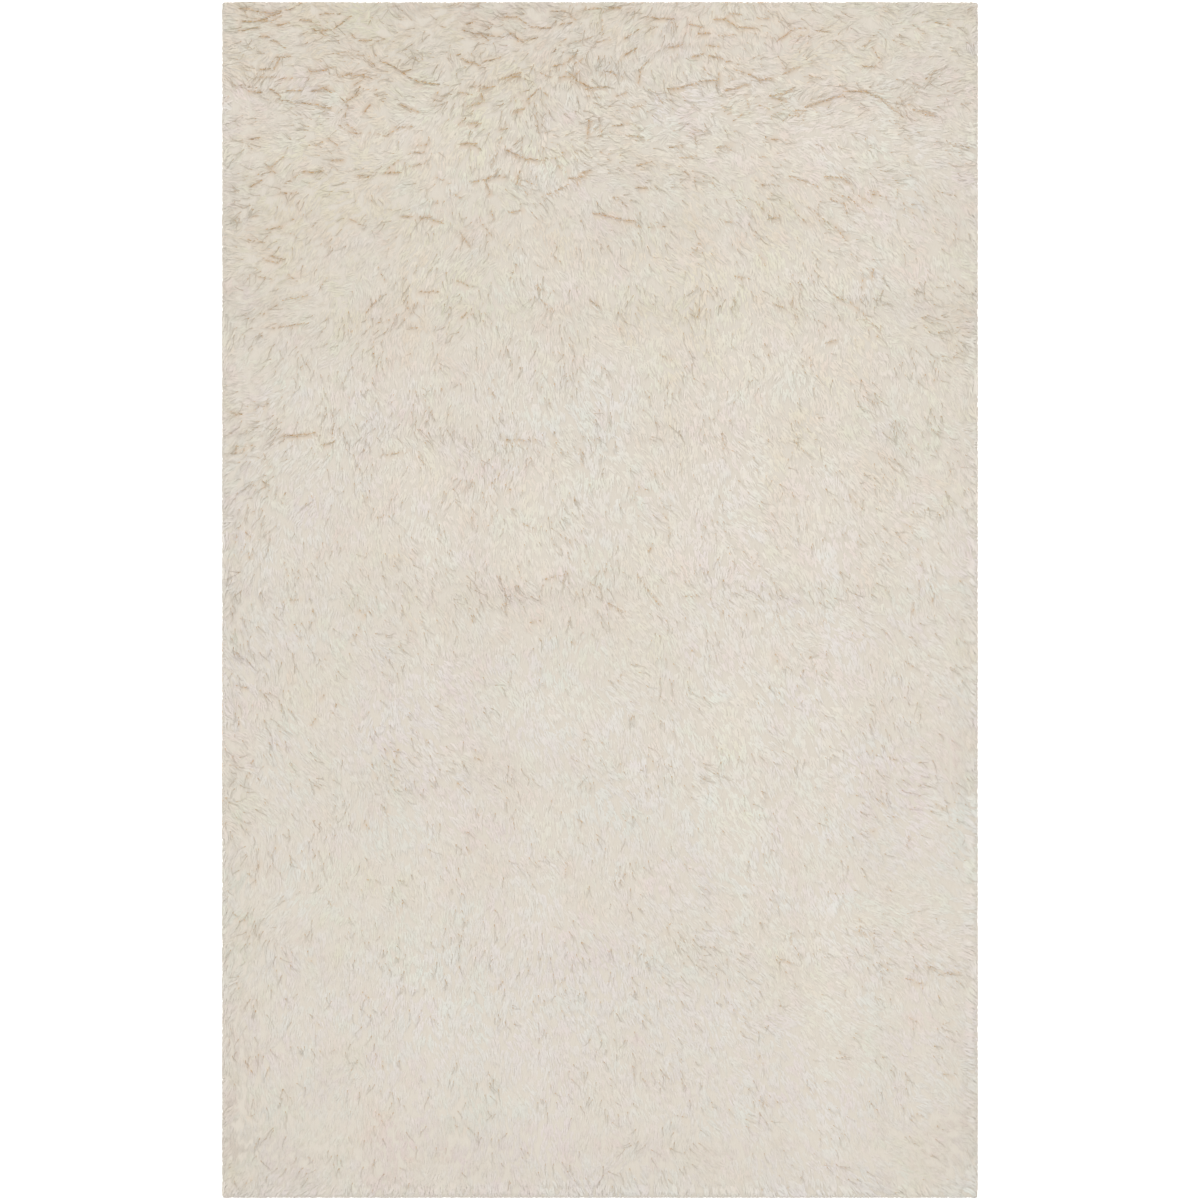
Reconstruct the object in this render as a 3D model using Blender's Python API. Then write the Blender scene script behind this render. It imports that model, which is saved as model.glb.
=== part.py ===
"""Shag rug lying flat: one closed solid, a lumpy slab of combed pile with separate locks round its rim.

Metres, +Z up. The origin is the middle of the underside. +Y is the rug's rough head end,
-Y its smooth foot end, and the pile is combed from the head towards the foot.
"""

import math
from collections import namedtuple

import bmesh
import bpy
from mathutils import Vector, noise

# ---- Driving dimensions ----
RUG_WIDTH = 1.524  # tip to tip across the rug, 5 ft
RUG_LENGTH = 2.411  # tip to tip along the rug, just under 8 ft
PILE_THICKNESS = 0.034  # from the floor to the top of the combed pile
RIM_HEIGHT = 0.020  # the pile's height where the rim locks leave it
SHOULDER = 0.052  # how far in from there the pile takes to rise to its thickness
SHOULDER_START = -0.010  # the rise starts this far outside the wall, so that it leaves the wall sloping

# ---- Rim locks ----
LOCK_REACH = 0.020  # from the slab's wall to the lock's tip
LOCK_SHARE = 0.90  # of the wall from one lock to the next, the rest is the gap
LOCK_UNEVEN = 0.0045  # how far a lock's root may shift along the wall
TIP_SHORTFALL = 0.0040  # the most that a tip ends short of the rug's outline
SIDE_LEAN = 0.011  # how far the tips along the two long sides lean towards the foot
HEAD_LEAN = 0.009  # how far the tips along the head lean towards the nearer side
LEAN_FADE = 0.13  # distance from a corner over which the lean dies out
LEAN_CURVE = 1.5  # a lock bends: its lean grows with this power of the way out
TIP_SWAY = 0.0018  # how far a tip may sway from that lean
HEIGHT_UNEVEN = 0.15  # how far a lock's height may differ, as a share of it
CORNER_CUT = 0.020  # the slab's corners are cut by this much, for a lock on each
CORNER_ROUND = 0.0065  # the corner locks end this far inside the outline's corner, on X and on Y

# A lock narrows through these sections to a flat tip on the floor, which has no height.
Section = namedtuple("Section", "out width height")  # share of the reach; of the root's width; metres
LOCK_SECTIONS = (
    Section(out=0.40, width=1.00, height=0.0155),
    Section(out=0.78, width=0.86, height=0.0100),
    Section(out=1.00, width=0.58, height=0.0),
)
BACK_WIDTH = 0.76  # the lock's rounded back is this share of its width on the floor

# Locks differ by a noise that is read at one place for each lock and layer.
LOCK_STEP, LAYER_STEP = 0.731, 5.17  # from one lock's place in the noise to the next, and between layers
NOISE_DEPTH = 0.37
NOISE_GAIN = 1.6  # the noise itself seldom passes 0.6
TIP_LAYER, SWAY_LAYER, HEIGHT_LAYER, ROOT_LAYER = 1, 2, 3, 4

# ---- Lumps of the pile ----
COLUMNS, ROWS = 42, 66  # cells of the slab's top, across and along
HEAD_CELL_SHARE = 0.70  # length of the head's first cell, as a share of the mean cell
HEAD_START, HEAD_FULL = 0.45, 1.00  # the rough head grows between these distances from the middle

Lumps = namedtuple("Lumps", "across along rise layer")  # size of one lump, its height, its own pattern
BODY_LUMPS = Lumps(across=0.20, along=0.25, rise=0.0055, layer=3.5)
SMALL_LUMPS = Lumps(across=0.078, along=0.105, rise=0.0042, layer=11.5)
HEAD_LUMPS = Lumps(across=0.105, along=0.060, rise=0.0080, layer=27.5)

# Partings are troughs where the pile opens. x and y give the middle and turn the direction.
Parting = namedtuple("Parting", "x y half_length turn_deg depth")
PARTING_HALF_WIDTH = 0.020
PARTINGS = (
    Parting(x=-0.700, y=1.165, half_length=0.060, turn_deg=-8, depth=0.008),
    Parting(x=-0.640, y=0.995, half_length=0.075, turn_deg=6, depth=0.009),
    Parting(x=-0.575, y=1.062, half_length=0.060, turn_deg=-4, depth=0.008),
    Parting(x=-0.560, y=0.862, half_length=0.070, turn_deg=4, depth=0.006),
    Parting(x=-0.335, y=1.035, half_length=0.080, turn_deg=-12, depth=0.009),
    Parting(x=-0.250, y=1.125, half_length=0.070, turn_deg=9, depth=0.008),
    Parting(x=-0.150, y=0.905, half_length=0.080, turn_deg=-14, depth=0.008),
    Parting(x=-0.020, y=1.050, half_length=0.090, turn_deg=-10, depth=0.009),
    Parting(x=0.055, y=0.925, half_length=0.070, turn_deg=8, depth=0.006),
    Parting(x=0.225, y=1.010, half_length=0.080, turn_deg=5, depth=0.007),
    Parting(x=0.455, y=1.000, half_length=0.095, turn_deg=3, depth=0.010),
    Parting(x=0.640, y=0.985, half_length=0.060, turn_deg=-10, depth=0.006),
    Parting(x=-0.400, y=0.345, half_length=0.055, turn_deg=6, depth=0.005),
    Parting(x=-0.560, y=0.305, half_length=0.060, turn_deg=-6, depth=0.005),
    Parting(x=0.085, y=0.835, half_length=0.050, turn_deg=-5, depth=0.005),
)

# ---- Sizes worked out from these ----
HALF_WIDTH, HALF_LENGTH = RUG_WIDTH / 2, RUG_LENGTH / 2
WALL_X, WALL_Y = HALF_WIDTH - LOCK_REACH, HALF_LENGTH - LOCK_REACH

PILE_COLOUR = (0.71, 0.64, 0.55, 1.0)


def eased(value, start, end):
    """0 before start, 1 after end, and an even S between them."""
    share = min(1.0, max(0.0, (value - start) / (end - start)))
    return share * share * (3 - 2 * share)


def lump_height(lumps, x, y):
    return lumps.rise * noise.noise(Vector((x / lumps.across, y / lumps.along, lumps.layer)))


def parting_depth(parting, x, y):
    """How deep a parting cuts the pile at x, y: deepest at its middle, gone past its ends."""
    turn = math.radians(parting.turn_deg)
    off_x, off_y = x - parting.x, y - parting.y
    along = off_x * math.cos(turn) + off_y * math.sin(turn)
    across = off_y * math.cos(turn) - off_x * math.sin(turn)
    from_middle = (along / parting.half_length) ** 2 + (across / PARTING_HALF_WIDTH) ** 2
    return parting.depth * math.exp(-from_middle)


def pile_height(x, y):
    """Height of the slab's top over the floor."""
    head = eased(y, HEAD_START, HEAD_FULL)
    height = PILE_THICKNESS + lump_height(BODY_LUMPS, x, y) + lump_height(SMALL_LUMPS, x, y)
    height += head * lump_height(HEAD_LUMPS, x, y)
    height -= sum(parting_depth(parting, x, y) for parting in PARTINGS)
    from_rim = min(WALL_X - abs(x), WALL_Y - abs(y))
    return RIM_HEIGHT + (height - RIM_HEIGHT) * eased(from_rim, SHOULDER_START, SHOULDER)


def row_places():
    """The Y of each line of the slab's grid, from the foot to the head, with shorter cells at the head."""
    places = []
    for row in range(ROWS + 1):
        share = row / ROWS
        # The slope of this parabola is the cell's length: over 1 at the foot, HEAD_CELL_SHARE at the head.
        places.append(-WALL_Y + 2 * WALL_Y * (share + (1 - HEAD_CELL_SHARE) * share * (1 - share)))
    return places


def column_places():
    return [-WALL_X + 2 * WALL_X * column / COLUMNS for column in range(COLUMNS + 1)]


Station = namedtuple("Station", "place node")  # a corner of a lock's root on the wall, and its grid node


def uneven(number, layer):
    """A steady value from -1 to 1 that differs from lock to lock."""
    place = Vector((number * LOCK_STEP, layer * LAYER_STEP, NOISE_DEPTH))
    return max(-1.0, min(1.0, NOISE_GAIN * noise.noise(place)))


def shifted(number, place, node):
    """The place, moved a little along the wall unless it is at a corner of the slab."""
    shift = LOCK_UNEVEN * uneven(number, ROOT_LAYER) if node else 0.0
    on_long_side = abs(place[0]) == WALL_X
    return Vector((place[0], place[1] + shift) if on_long_side else (place[0] + shift, place[1]))


def rim_stations(xs, ys):
    """Where each lock starts on the slab's wall, anticlockwise from the foot's left corner."""
    foot = [((-WALL_X + CORNER_CUT, -WALL_Y), None)]
    foot += [((xs[i], -WALL_Y), (i, 0)) for i in range(1, COLUMNS)]
    right = [((WALL_X - CORNER_CUT, -WALL_Y), None), ((WALL_X, -WALL_Y + CORNER_CUT), None)]
    right += [((WALL_X, ys[j]), (COLUMNS, j)) for j in range(1, ROWS)]
    head = [((WALL_X, WALL_Y - CORNER_CUT), None), ((WALL_X - CORNER_CUT, WALL_Y), None)]
    head += [((xs[i], WALL_Y), (i, ROWS)) for i in range(COLUMNS - 1, 0, -1)]
    left = [((-WALL_X + CORNER_CUT, WALL_Y), None), ((-WALL_X, WALL_Y - CORNER_CUT), None)]
    left += [((-WALL_X, ys[j]), (0, j)) for j in range(ROWS - 1, 0, -1)]
    last = [((-WALL_X, -WALL_Y + CORNER_CUT), None)]
    places = foot + right + head + left + last
    return [Station(shifted(number, place, node), node) for number, (place, node) in enumerate(places)]


def lock_course(number, start, end):
    """(outward direction, reach, lean along the wall) of the lock rooted from start to end."""
    middle, along = (start + end) / 2, (end - start).normalized()
    outward = Vector((along.y, -along.x))
    if outward.x and outward.y:  # a lock on a cut corner
        corner_x = math.copysign(HALF_WIDTH - CORNER_ROUND, outward.x)
        corner_y = math.copysign(HALF_LENGTH - CORNER_ROUND, outward.y)
        return outward, (Vector((corner_x, corner_y)) - middle).dot(outward), Vector((0, 0))
    lean = along * TIP_SWAY * uneven(number, SWAY_LAYER)
    if outward.x:  # a long side
        lean.y -= SIDE_LEAN * eased(WALL_Y - abs(middle.y), 0, LEAN_FADE)
    elif outward.y > 0:  # the head
        fade = eased(WALL_X - abs(middle.x), 0, LEAN_FADE)
        lean.x += HEAD_LEAN * fade * math.sin(math.pi / 2 * middle.x / WALL_X)
    return outward, LOCK_REACH - TIP_SHORTFALL * max(0.0, uneven(number, TIP_LAYER)), lean


def lock_rings(number, start, end):
    """The corners of a lock's sections: low start, low end, high end, high start. A tip has the low two."""
    outward, reach, lean = lock_course(number, start, end)
    middle, along = (start + end) / 2, (end - start).normalized()
    rings = []
    for section in LOCK_SECTIONS:
        centre = middle + outward * reach * section.out + lean * section.out**LEAN_CURVE
        half = along * (end - start).length * section.width / 2
        ring = [(centre - half, 0.0), (centre + half, 0.0)]
        if section.height:
            height = section.height * (1 + HEIGHT_UNEVEN * uneven(number, HEIGHT_LAYER))
            ring += [(centre + half * BACK_WIDTH, height), (centre - half * BACK_WIDTH, height)]
        rings.append(ring)
    return rings


def new_vert(mesh, place, height):
    return mesh.verts.new((place.x, place.y, height))


def add_lock(mesh, number, root):
    """Extends the open wall between root's four vertices into a closed lock."""
    previous = root
    for ring in lock_rings(number, root[0].co.xy, root[1].co.xy):
        current = [new_vert(mesh, place, height) for place, height in ring]
        # A flat tip stands for both its low and its high corners.
        low_start, low_end, high_end, high_start = current if len(current) == 4 else current + current[::-1]
        mesh.faces.new((previous[0], previous[1], low_end, low_start))
        mesh.faces.new((previous[2], previous[3], high_start, high_end))
        flanks = (
            (previous[1], previous[2], high_end, low_end),
            (previous[3], previous[0], low_start, high_start),
        )
        for corners in flanks:
            mesh.faces.new(list(dict.fromkeys(corners)))
        previous = current


def add_rim(mesh, stations):
    """The slab's wall with its locks. Returns the top vertices in order, two to each station."""
    low, high = [], []
    count = len(stations)
    for number, station in enumerate(stations):
        end = station.place.lerp(stations[(number + 1) % count].place, LOCK_SHARE)
        for place in (station.place, end):
            low.append(new_vert(mesh, place, 0.0))
            high.append(new_vert(mesh, place, pile_height(place.x, place.y)))
    centre = mesh.verts.new((0, 0, 0))
    for number in range(count):
        a, b, c = 2 * number, 2 * number + 1, (2 * number + 2) % (2 * count)
        add_lock(mesh, number, (low[a], low[b], high[b], high[a]))
        mesh.faces.new((low[b], low[c], high[c], high[b]))  # the gap before the next lock
        mesh.faces.new((centre, low[b], low[a]))  # the flat underside
        mesh.faces.new((centre, low[c], low[b]))
    return high


def add_top(mesh, xs, ys, stations, rim):
    """The lumpy top: a grid whose outer cells run on to the rim's vertices."""
    inner = {
        (i, j): mesh.verts.new((xs[i], ys[j], pile_height(xs[i], ys[j])))
        for i in range(1, COLUMNS)
        for j in range(1, ROWS)
    }
    station_of = {station.node: number for number, station in enumerate(stations) if station.node}
    count = len(stations)
    for i in range(COLUMNS):
        for j in range(ROWS):
            ring = [(i, j), (i + 1, j), (i + 1, j + 1), (i, j + 1)]
            on_rim = [node for node in ring if node in station_of]
            if not on_rim:
                mesh.faces.new([inner[node] for node in ring])
                continue
            # The cell's rim runs over one lock, or over three round a corner of the slab.
            first, last = on_rim
            if (station_of[last] - station_of[first]) % count > 3:
                first, last = last, first
            locks = (station_of[last] - station_of[first]) % count
            steps = range(2 * station_of[first], 2 * station_of[first] + 2 * locks + 1)
            turn = ring.index(last)
            inside = [node for node in ring[turn + 1 :] + ring[:turn] if node in inner]
            mesh.faces.new([rim[step % (2 * count)] for step in steps] + [inner[node] for node in inside])


def pile_material():
    material = bpy.data.materials.new("ivory_pile")
    material.use_nodes = True
    shader = material.node_tree.nodes["Principled BSDF"]
    shader.inputs["Base Color"].default_value = PILE_COLOUR
    shader.inputs["Roughness"].default_value = 0.95
    shader.inputs["Metallic"].default_value = 0.0
    return material


def build_rug():
    xs, ys = column_places(), row_places()
    stations = rim_stations(xs, ys)
    mesh = bmesh.new()
    rim = add_rim(mesh, stations)
    add_top(mesh, xs, ys, stations, rim)
    bmesh.ops.recalc_face_normals(mesh, faces=mesh.faces)
    data = bpy.data.meshes.new("rug")
    mesh.to_mesh(data)
    mesh.free()
    data.materials.append(pile_material())
    data.shade_smooth()
    rug = bpy.data.objects.new("rug", data)
    bpy.context.scene.collection.objects.link(rug)
    return rug


def clear_scene():
    for thing in list(bpy.data.objects):
        bpy.data.objects.remove(thing)


clear_scene()
build_rug()
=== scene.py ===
# %% [markdown]
# # An ivory shag rug
# The real rug is a woven ground cloth with thousands of long wool tufts rooted in it. Somebody
# combed the pile from the head of the rug to its foot, so the wool lies down like fur: rough and
# lumpy at the head, smooth at the foot, and fanned out to both long sides.
# This lesson grows that pile strand by strand with numpy, on the plain slab that the part's
# model holds, and gives it a wool material. The slab stays in the file for collisions only.

# %% Load the plain model
import math
from collections import namedtuple

import bpy
import numpy as np
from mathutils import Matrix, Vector
from mathutils.bvhtree import BVHTree


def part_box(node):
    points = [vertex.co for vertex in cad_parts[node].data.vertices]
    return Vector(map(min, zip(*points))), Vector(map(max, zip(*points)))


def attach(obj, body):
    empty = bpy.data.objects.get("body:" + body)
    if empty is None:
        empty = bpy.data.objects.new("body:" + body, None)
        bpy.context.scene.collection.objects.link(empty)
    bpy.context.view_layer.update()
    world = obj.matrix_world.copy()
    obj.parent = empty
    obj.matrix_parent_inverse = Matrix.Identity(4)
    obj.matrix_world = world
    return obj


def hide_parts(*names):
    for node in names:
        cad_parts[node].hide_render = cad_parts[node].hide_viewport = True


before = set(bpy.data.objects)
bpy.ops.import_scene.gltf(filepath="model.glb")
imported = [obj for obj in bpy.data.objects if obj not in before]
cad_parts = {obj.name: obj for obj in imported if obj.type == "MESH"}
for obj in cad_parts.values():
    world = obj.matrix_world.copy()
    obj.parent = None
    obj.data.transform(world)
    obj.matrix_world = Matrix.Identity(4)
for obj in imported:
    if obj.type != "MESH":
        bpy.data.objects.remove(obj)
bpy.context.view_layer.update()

HALF_WIDTH, HALF_LENGTH, slab_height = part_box("rug")[1]
print(f"slab: {2 * HALF_WIDTH:.3f} x {2 * HALF_LENGTH:.3f} x {slab_height:.3f} m")

# %% [markdown]
# ## The view
# The rug was photographed from straight above and fills the picture's height. A very long lens
# from high up keeps its outline a true rectangle, and its sides don't show. The camera looks
# down its own -Z, so it needs no rotation, and +Y, the rug's head, is at the top of the picture.

# %% Camera
FRAME_WIDTH = 2.4195  # metres of floor across the square picture
LENS_MM, SENSOR_MM = 400, 36
FARTHEST = 60  # metres that the camera can see

camera_data = bpy.data.cameras.new("overhead")
camera_data.lens = LENS_MM
camera_data.sensor_width = SENSOR_MM
camera_data.clip_end = FARTHEST
camera = bpy.data.objects.new("overhead", camera_data)
bpy.context.scene.collection.objects.link(camera)
camera.location = (0, 0, FRAME_WIDTH * LENS_MM / SENSOR_MM)
bpy.context.scene.camera = camera
print(f"camera {camera.location.z:.2f} m above the floor")

# %% [markdown]
# ## Floor and light
# Pale wool on a white floor looks like fur only in very soft light: a hard lamp would draw a
# black gap beside every strand. So nearly all the light comes from a bright sky all round, and
# one wide, weak sun over the rug's head gives the lumps a lit side. The floor glows a little, as
# a sheet on a light table does. That hides the rug's shadow and keeps its rim from going dark.

# %% Sky and sun
SKY_STRENGTH, SKY_COLOUR = 1.12, (1.0, 0.995, 0.985, 1)
SUN_STRENGTH = 0.40
SUN_HEIGHT_DEG, SUN_FROM_DEG = 48, 20  # over the horizon; from the head towards the left
SUN_SOFTNESS_DEG = 50

bpy.context.scene.view_settings.view_transform = "Standard"

world = bpy.data.worlds.new("studio")
world.use_nodes = True
background = world.node_tree.nodes["Background"]
background.inputs["Color"].default_value = SKY_COLOUR
background.inputs["Strength"].default_value = SKY_STRENGTH
bpy.context.scene.world = world

sun_data = bpy.data.lights.new("soft_sun", "SUN")
sun_data.energy = SUN_STRENGTH
sun_data.angle = math.radians(SUN_SOFTNESS_DEG)
sun = bpy.data.objects.new("soft_sun", sun_data)
sun.rotation_euler = (math.radians(SUN_HEIGHT_DEG - 90), 0, math.radians(SUN_FROM_DEG))
bpy.context.scene.collection.objects.link(sun)
print(f"sky {SKY_STRENGTH}, sun {SUN_STRENGTH}")

# %% Floor
FLOOR_HALF = 4.5  # metres from the rug's middle to the floor's sides

floor_mesh = bpy.data.meshes.new("floor")
floor_corners = [(FLOOR_HALF * x, FLOOR_HALF * y, 0) for x, y in ((-1, -1), (1, -1), (1, 1), (-1, 1))]
floor_mesh.from_pydata(floor_corners, [], [(0, 1, 2, 3)])
floor = bpy.data.objects.new("floor", floor_mesh)
bpy.context.scene.collection.objects.link(floor)
print(f"floor {2 * FLOOR_HALF} m square")

# %% Floor material
FLOOR_WHITE = (0.93, 0.93, 0.93, 1)
FLOOR_GLOW = 0.35
LOW_SHINE = 0.2  # for wool, cotton and the floor alike


def new_material(name, roughness):
    """A material with its node tree, and its Principled shader."""
    material = bpy.data.materials.new(name)
    material.use_nodes = True
    shader = material.node_tree.nodes["Principled BSDF"]
    shader.inputs["Roughness"].default_value = roughness
    shader.inputs["Specular IOR Level"].default_value = LOW_SHINE
    return material, shader


floor_material, floor_shader = new_material("floor_white", roughness=0.9)
floor_shader.inputs["Base Color"].default_value = FLOOR_WHITE
floor_shader.inputs["Emission Color"].default_value = FLOOR_WHITE
floor_shader.inputs["Emission Strength"].default_value = FLOOR_GLOW
floor_mesh.materials.append(floor_material)
print(f"floor material glows at {FLOOR_GLOW}")

# %% [markdown]
# ## How high the pile stands
# The lumps of the real pile are in the slab already. Reading its top with rays gives the height
# that the strands have to reach everywhere, so the wool swells and dips where the slab does.
# Past the slab's wall stand only separate locks. There the pile rounds off towards the outline,
# slowly at first: a rim that slopes early looks grey from above.

# %% Read the slab's top
GRID_STEP = 0.012
WALL_IN = 0.022  # from the outline to just inside the slab's wall


def evenly(half, margin, step):
    """Places about a step apart from one side of the rug to the other, less a margin."""
    return np.linspace(margin - half, half - margin, round(2 * half / step))


slab_tree = BVHTree.FromObject(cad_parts["rug"], bpy.context.evaluated_depsgraph_get())
grid_x, grid_y = evenly(HALF_WIDTH, WALL_IN, GRID_STEP), evenly(HALF_LENGTH, WALL_IN, GRID_STEP)
grid_top = np.empty((len(grid_x), len(grid_y)))
for i, x in enumerate(grid_x):
    for j, y in enumerate(grid_y):
        hit = slab_tree.ray_cast(Vector((x, y, 1)), Vector((0, 0, -1)))[0]
        grid_top[i, j] = hit.z
PILE_HEIGHT = float(grid_top.mean())
print(f"slab top: {grid_top.min():.4f} to {grid_top.max():.4f} m, mean {PILE_HEIGHT:.4f}")

# %% Height of the pile at any point
EDGE_SHARE = 0.70  # of the wall's height, where the pile meets the outline
EDGE_ROUNDING = 0.3  # the lower, the later the pile falls


def between(table, u, v):
    """Values of a table at fractional rows u and columns v."""
    i = np.clip(np.floor(u).astype(int), 0, table.shape[0] - 2)
    j = np.clip(np.floor(v).astype(int), 0, table.shape[1] - 2)
    du, dv = u - i, v - j
    near = table[i, j] * (1 - dv) + table[i, j + 1] * dv
    far = table[i + 1, j] * (1 - dv) + table[i + 1, j + 1] * dv
    return near * (1 - du) + far * du


def inside_by(x, y):
    """How far inside the rug's outline a point lies."""
    return np.minimum(HALF_WIDTH - np.abs(x), HALF_LENGTH - np.abs(y))


def pile_top(x, y):
    """How high the pile stands over a point."""
    u = np.interp(x, grid_x, np.arange(len(grid_x)))
    v = np.interp(y, grid_y, np.arange(len(grid_y)))
    fall = np.clip(inside_by(x, y) / WALL_IN, 0, 1) ** EDGE_ROUNDING
    return between(grid_top, u, v) * (EDGE_SHARE + (1 - EDGE_SHARE) * fall)


for place, x in (("the middle", 0), ("a side", HALF_WIDTH)):
    print(f"the pile is {float(pile_top(x, 0)):.4f} m high at {place}")

# %% [markdown]
# ## Which way the comb went
# Fur looks real when its lie is right. The comb's sweep is written down as a few angles, read
# off the rug row by row: 0 points straight to the foot, plus leans to the right. At the head the
# wool lies nearly sideways. Below, it fans out to both sides, with a lean to the right in the
# middle. One could also draw the sweep with curves, but a row of angles is easier to correct.

# %% The comb's sweep
Sweep = namedtuple("Sweep", "y left inner_left middle inner_right right")  # metres, then degrees
SWEEPS = (
    Sweep(y=-1.17, left=-28, inner_left=-14, middle=0, inner_right=32, right=55),
    Sweep(y=-0.89, left=-4, inner_left=5, middle=16, inner_right=34, right=56),
    Sweep(y=-0.60, left=-30, inner_left=5, middle=18, inner_right=32, right=60),
    Sweep(y=-0.36, left=40, inner_left=20, middle=20, inner_right=30, right=50),
    Sweep(y=-0.04, left=12, inner_left=15, middle=22, inner_right=28, right=40),
    Sweep(y=0.20, left=-36, inner_left=4, middle=16, inner_right=24, right=45),
    Sweep(y=0.42, left=-66, inner_left=-8, middle=12, inner_right=26, right=52),
    Sweep(y=0.69, left=-60, inner_left=-24, middle=25, inner_right=34, right=45),
    Sweep(y=0.85, left=-80, inner_left=-62, middle=56, inner_right=56, right=60),
    Sweep(y=0.97, left=-84, inner_left=-78, middle=66, inner_right=80, right=84),
    Sweep(y=1.17, left=-88, inner_left=-84, middle=-70, inner_right=82, right=88),
)
SWEEP_X = (-0.76, -0.42, 0.0, 0.42, 0.76)  # where the five angles of a sweep are
sweep_table = np.array([row[1:] for row in SWEEPS], float)


def comb_turn(x, y):
    """The lie of the pile, in degrees from straight down, plus to the right."""
    row = np.interp(y, [sweep.y for sweep in SWEEPS], np.arange(len(SWEEPS)))
    column = np.interp(x, SWEEP_X, np.arange(len(SWEEP_X)))
    return between(sweep_table, row, column)


print(f"{len(SWEEPS)} sweeps; at the rug's middle the pile leans {float(comb_turn(0, 0)):.0f} degrees")

# %% [markdown]
# ## Soft random patches
# Nothing on a rug is quite even, and nothing on it changes along a straight ramp. A lattice of
# random numbers with smooth steps in between gives soft patches of any size, and the same smooth
# step makes the ramps. Many of the next cells add a few of both, each with its own amount. The
# noise in a material would look alike, but it can't bend or cut a strand, and numbers can.

# %% Patches and ramps
Patches = namedtuple("Patches", "amount across along layer")  # the layer picks the random numbers
Ramp = namedtuple("Ramp", "start end amount")
LATTICE = 97  # random numbers along each side of a lattice
LATTICE_X, LATTICE_Y = 31, 43  # where on it the rug's middle lies


def smooth_step(share):
    return share * share * (3 - 2 * share)


def patches(kind, x, y):
    """Soft random values, from minus the kind's amount to plus it."""
    lattice = np.random.default_rng(kind.layer).uniform(-1, 1, (LATTICE, LATTICE))
    u, v = x / kind.across + LATTICE_X, y / kind.along + LATTICE_Y
    i, j = np.floor(u).astype(int), np.floor(v).astype(int)
    du, dv = smooth_step(u - i), smooth_step(v - j)
    i, j, after_i, after_j = i % LATTICE, j % LATTICE, (i + 1) % LATTICE, (j + 1) % LATTICE
    near = lattice[i, j] * (1 - dv) + lattice[i, after_j] * dv
    far = lattice[after_i, j] * (1 - dv) + lattice[after_i, after_j] * dv
    return kind.amount * (near * (1 - du) + far * du)


def ramped(ramp, value):
    """0 before the ramp's start, its amount past its end, and a smooth rise in between."""
    return ramp.amount * smooth_step(np.clip((value - ramp.start) / (ramp.end - ramp.start), 0, 1))


print(f"a lattice of {LATTICE} x {LATTICE} numbers; half way up a ramp: {ramped(Ramp(0, 2, 1), 1):.2f}")

# %% [markdown]
# ## Marks of the roll and the brush
# The rug came rolled up, from the head. Every turn of the roll was longer than the one before
# and left a line across the rug, where the pile is broken up and a little darker. The lines are
# listed one by one, with their growing distances. Brushing from head to foot left a few soft
# stripes along the rug: lighter and smoother, or darker.

# %% Marks and stripes
Mark = namedtuple("Mark", "y roughness shade")
ROLL_MARKS = (
    Mark(y=1.02, roughness=0.10, shade=0),
    Mark(y=0.84, roughness=0.12, shade=0),
    Mark(y=0.59, roughness=0.22, shade=0.030),
    Mark(y=0.325, roughness=0.24, shade=0),
    Mark(y=0.01, roughness=0.28, shade=0.012),
    Mark(y=-0.355, roughness=0.14, shade=0.006),
    Mark(y=-0.735, roughness=0.14, shade=0.008),
    Mark(y=-1.17, roughness=0.14, shade=0),
)
MARK_REACH = 0.030
MARK_WANDER = Patches(amount=0.012, across=0.2, along=0.6, layer=62)
MARK_UNEVEN = Patches(amount=0.7, across=0.15, along=0.1, layer=63)

Stripe = namedtuple("Stripe", "x reach tone")
STRIPES = (
    Stripe(x=-0.345, reach=0.045, tone=0.020),
    Stripe(x=-0.13, reach=0.06, tone=0.017),
    Stripe(x=0.28, reach=0.05, tone=0.015),
    Stripe(x=0.45, reach=0.035, tone=0.014),
    Stripe(x=0.57, reach=0.05, tone=-0.014),
)
STRIPE_WANDER = Patches(amount=0.01, across=0.3, along=0.35, layer=64)
BELOW_HEAD = Ramp(start=-0.8, end=-0.4, amount=1)  # over -y


def roll_marks_at(x, y):
    """How much rougher and how much darker the roll has made the pile."""
    rougher, darker = np.zeros(np.shape(x)), np.zeros(np.shape(x))
    for mark in ROLL_MARKS:
        off = (y - mark.y - patches(MARK_WANDER, x, y)) / MARK_REACH
        here = np.exp(-off * off) * (1 + patches(MARK_UNEVEN, x, 0 * y + mark.y))
        rougher, darker = rougher + mark.roughness * here, darker + mark.shade * here
    return rougher, darker


def stripes_at(x, y):
    """How much lighter a brushed stripe is; there are none at the head."""
    lighter = np.zeros(np.shape(x))
    for stripe in STRIPES:
        off = (x - patches(STRIPE_WANDER, x, y) - stripe.x) / stripe.reach
        lighter = lighter + stripe.tone * np.exp(-off * off)
    return lighter * ramped(BELOW_HEAD, -y)


print(f"{len(ROLL_MARKS)} marks of the roll, {len(STRIPES)} brushed stripes")

# %% [markdown]
# ## Rough head, smooth foot
# One number from 0 to 1 says how rough the pile is at a point, and everything that differs
# between the head and the foot reads it: how wavy the strands are, how far a lump turns from the
# comb's way, how often the wool parts. It falls from head to foot, is lower on the right of the
# head, and rises along both long edges and along the marks of the roll. Whatever depends on it is
# written as a pair of numbers: the value of smooth wool, and what full roughness adds.

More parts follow.
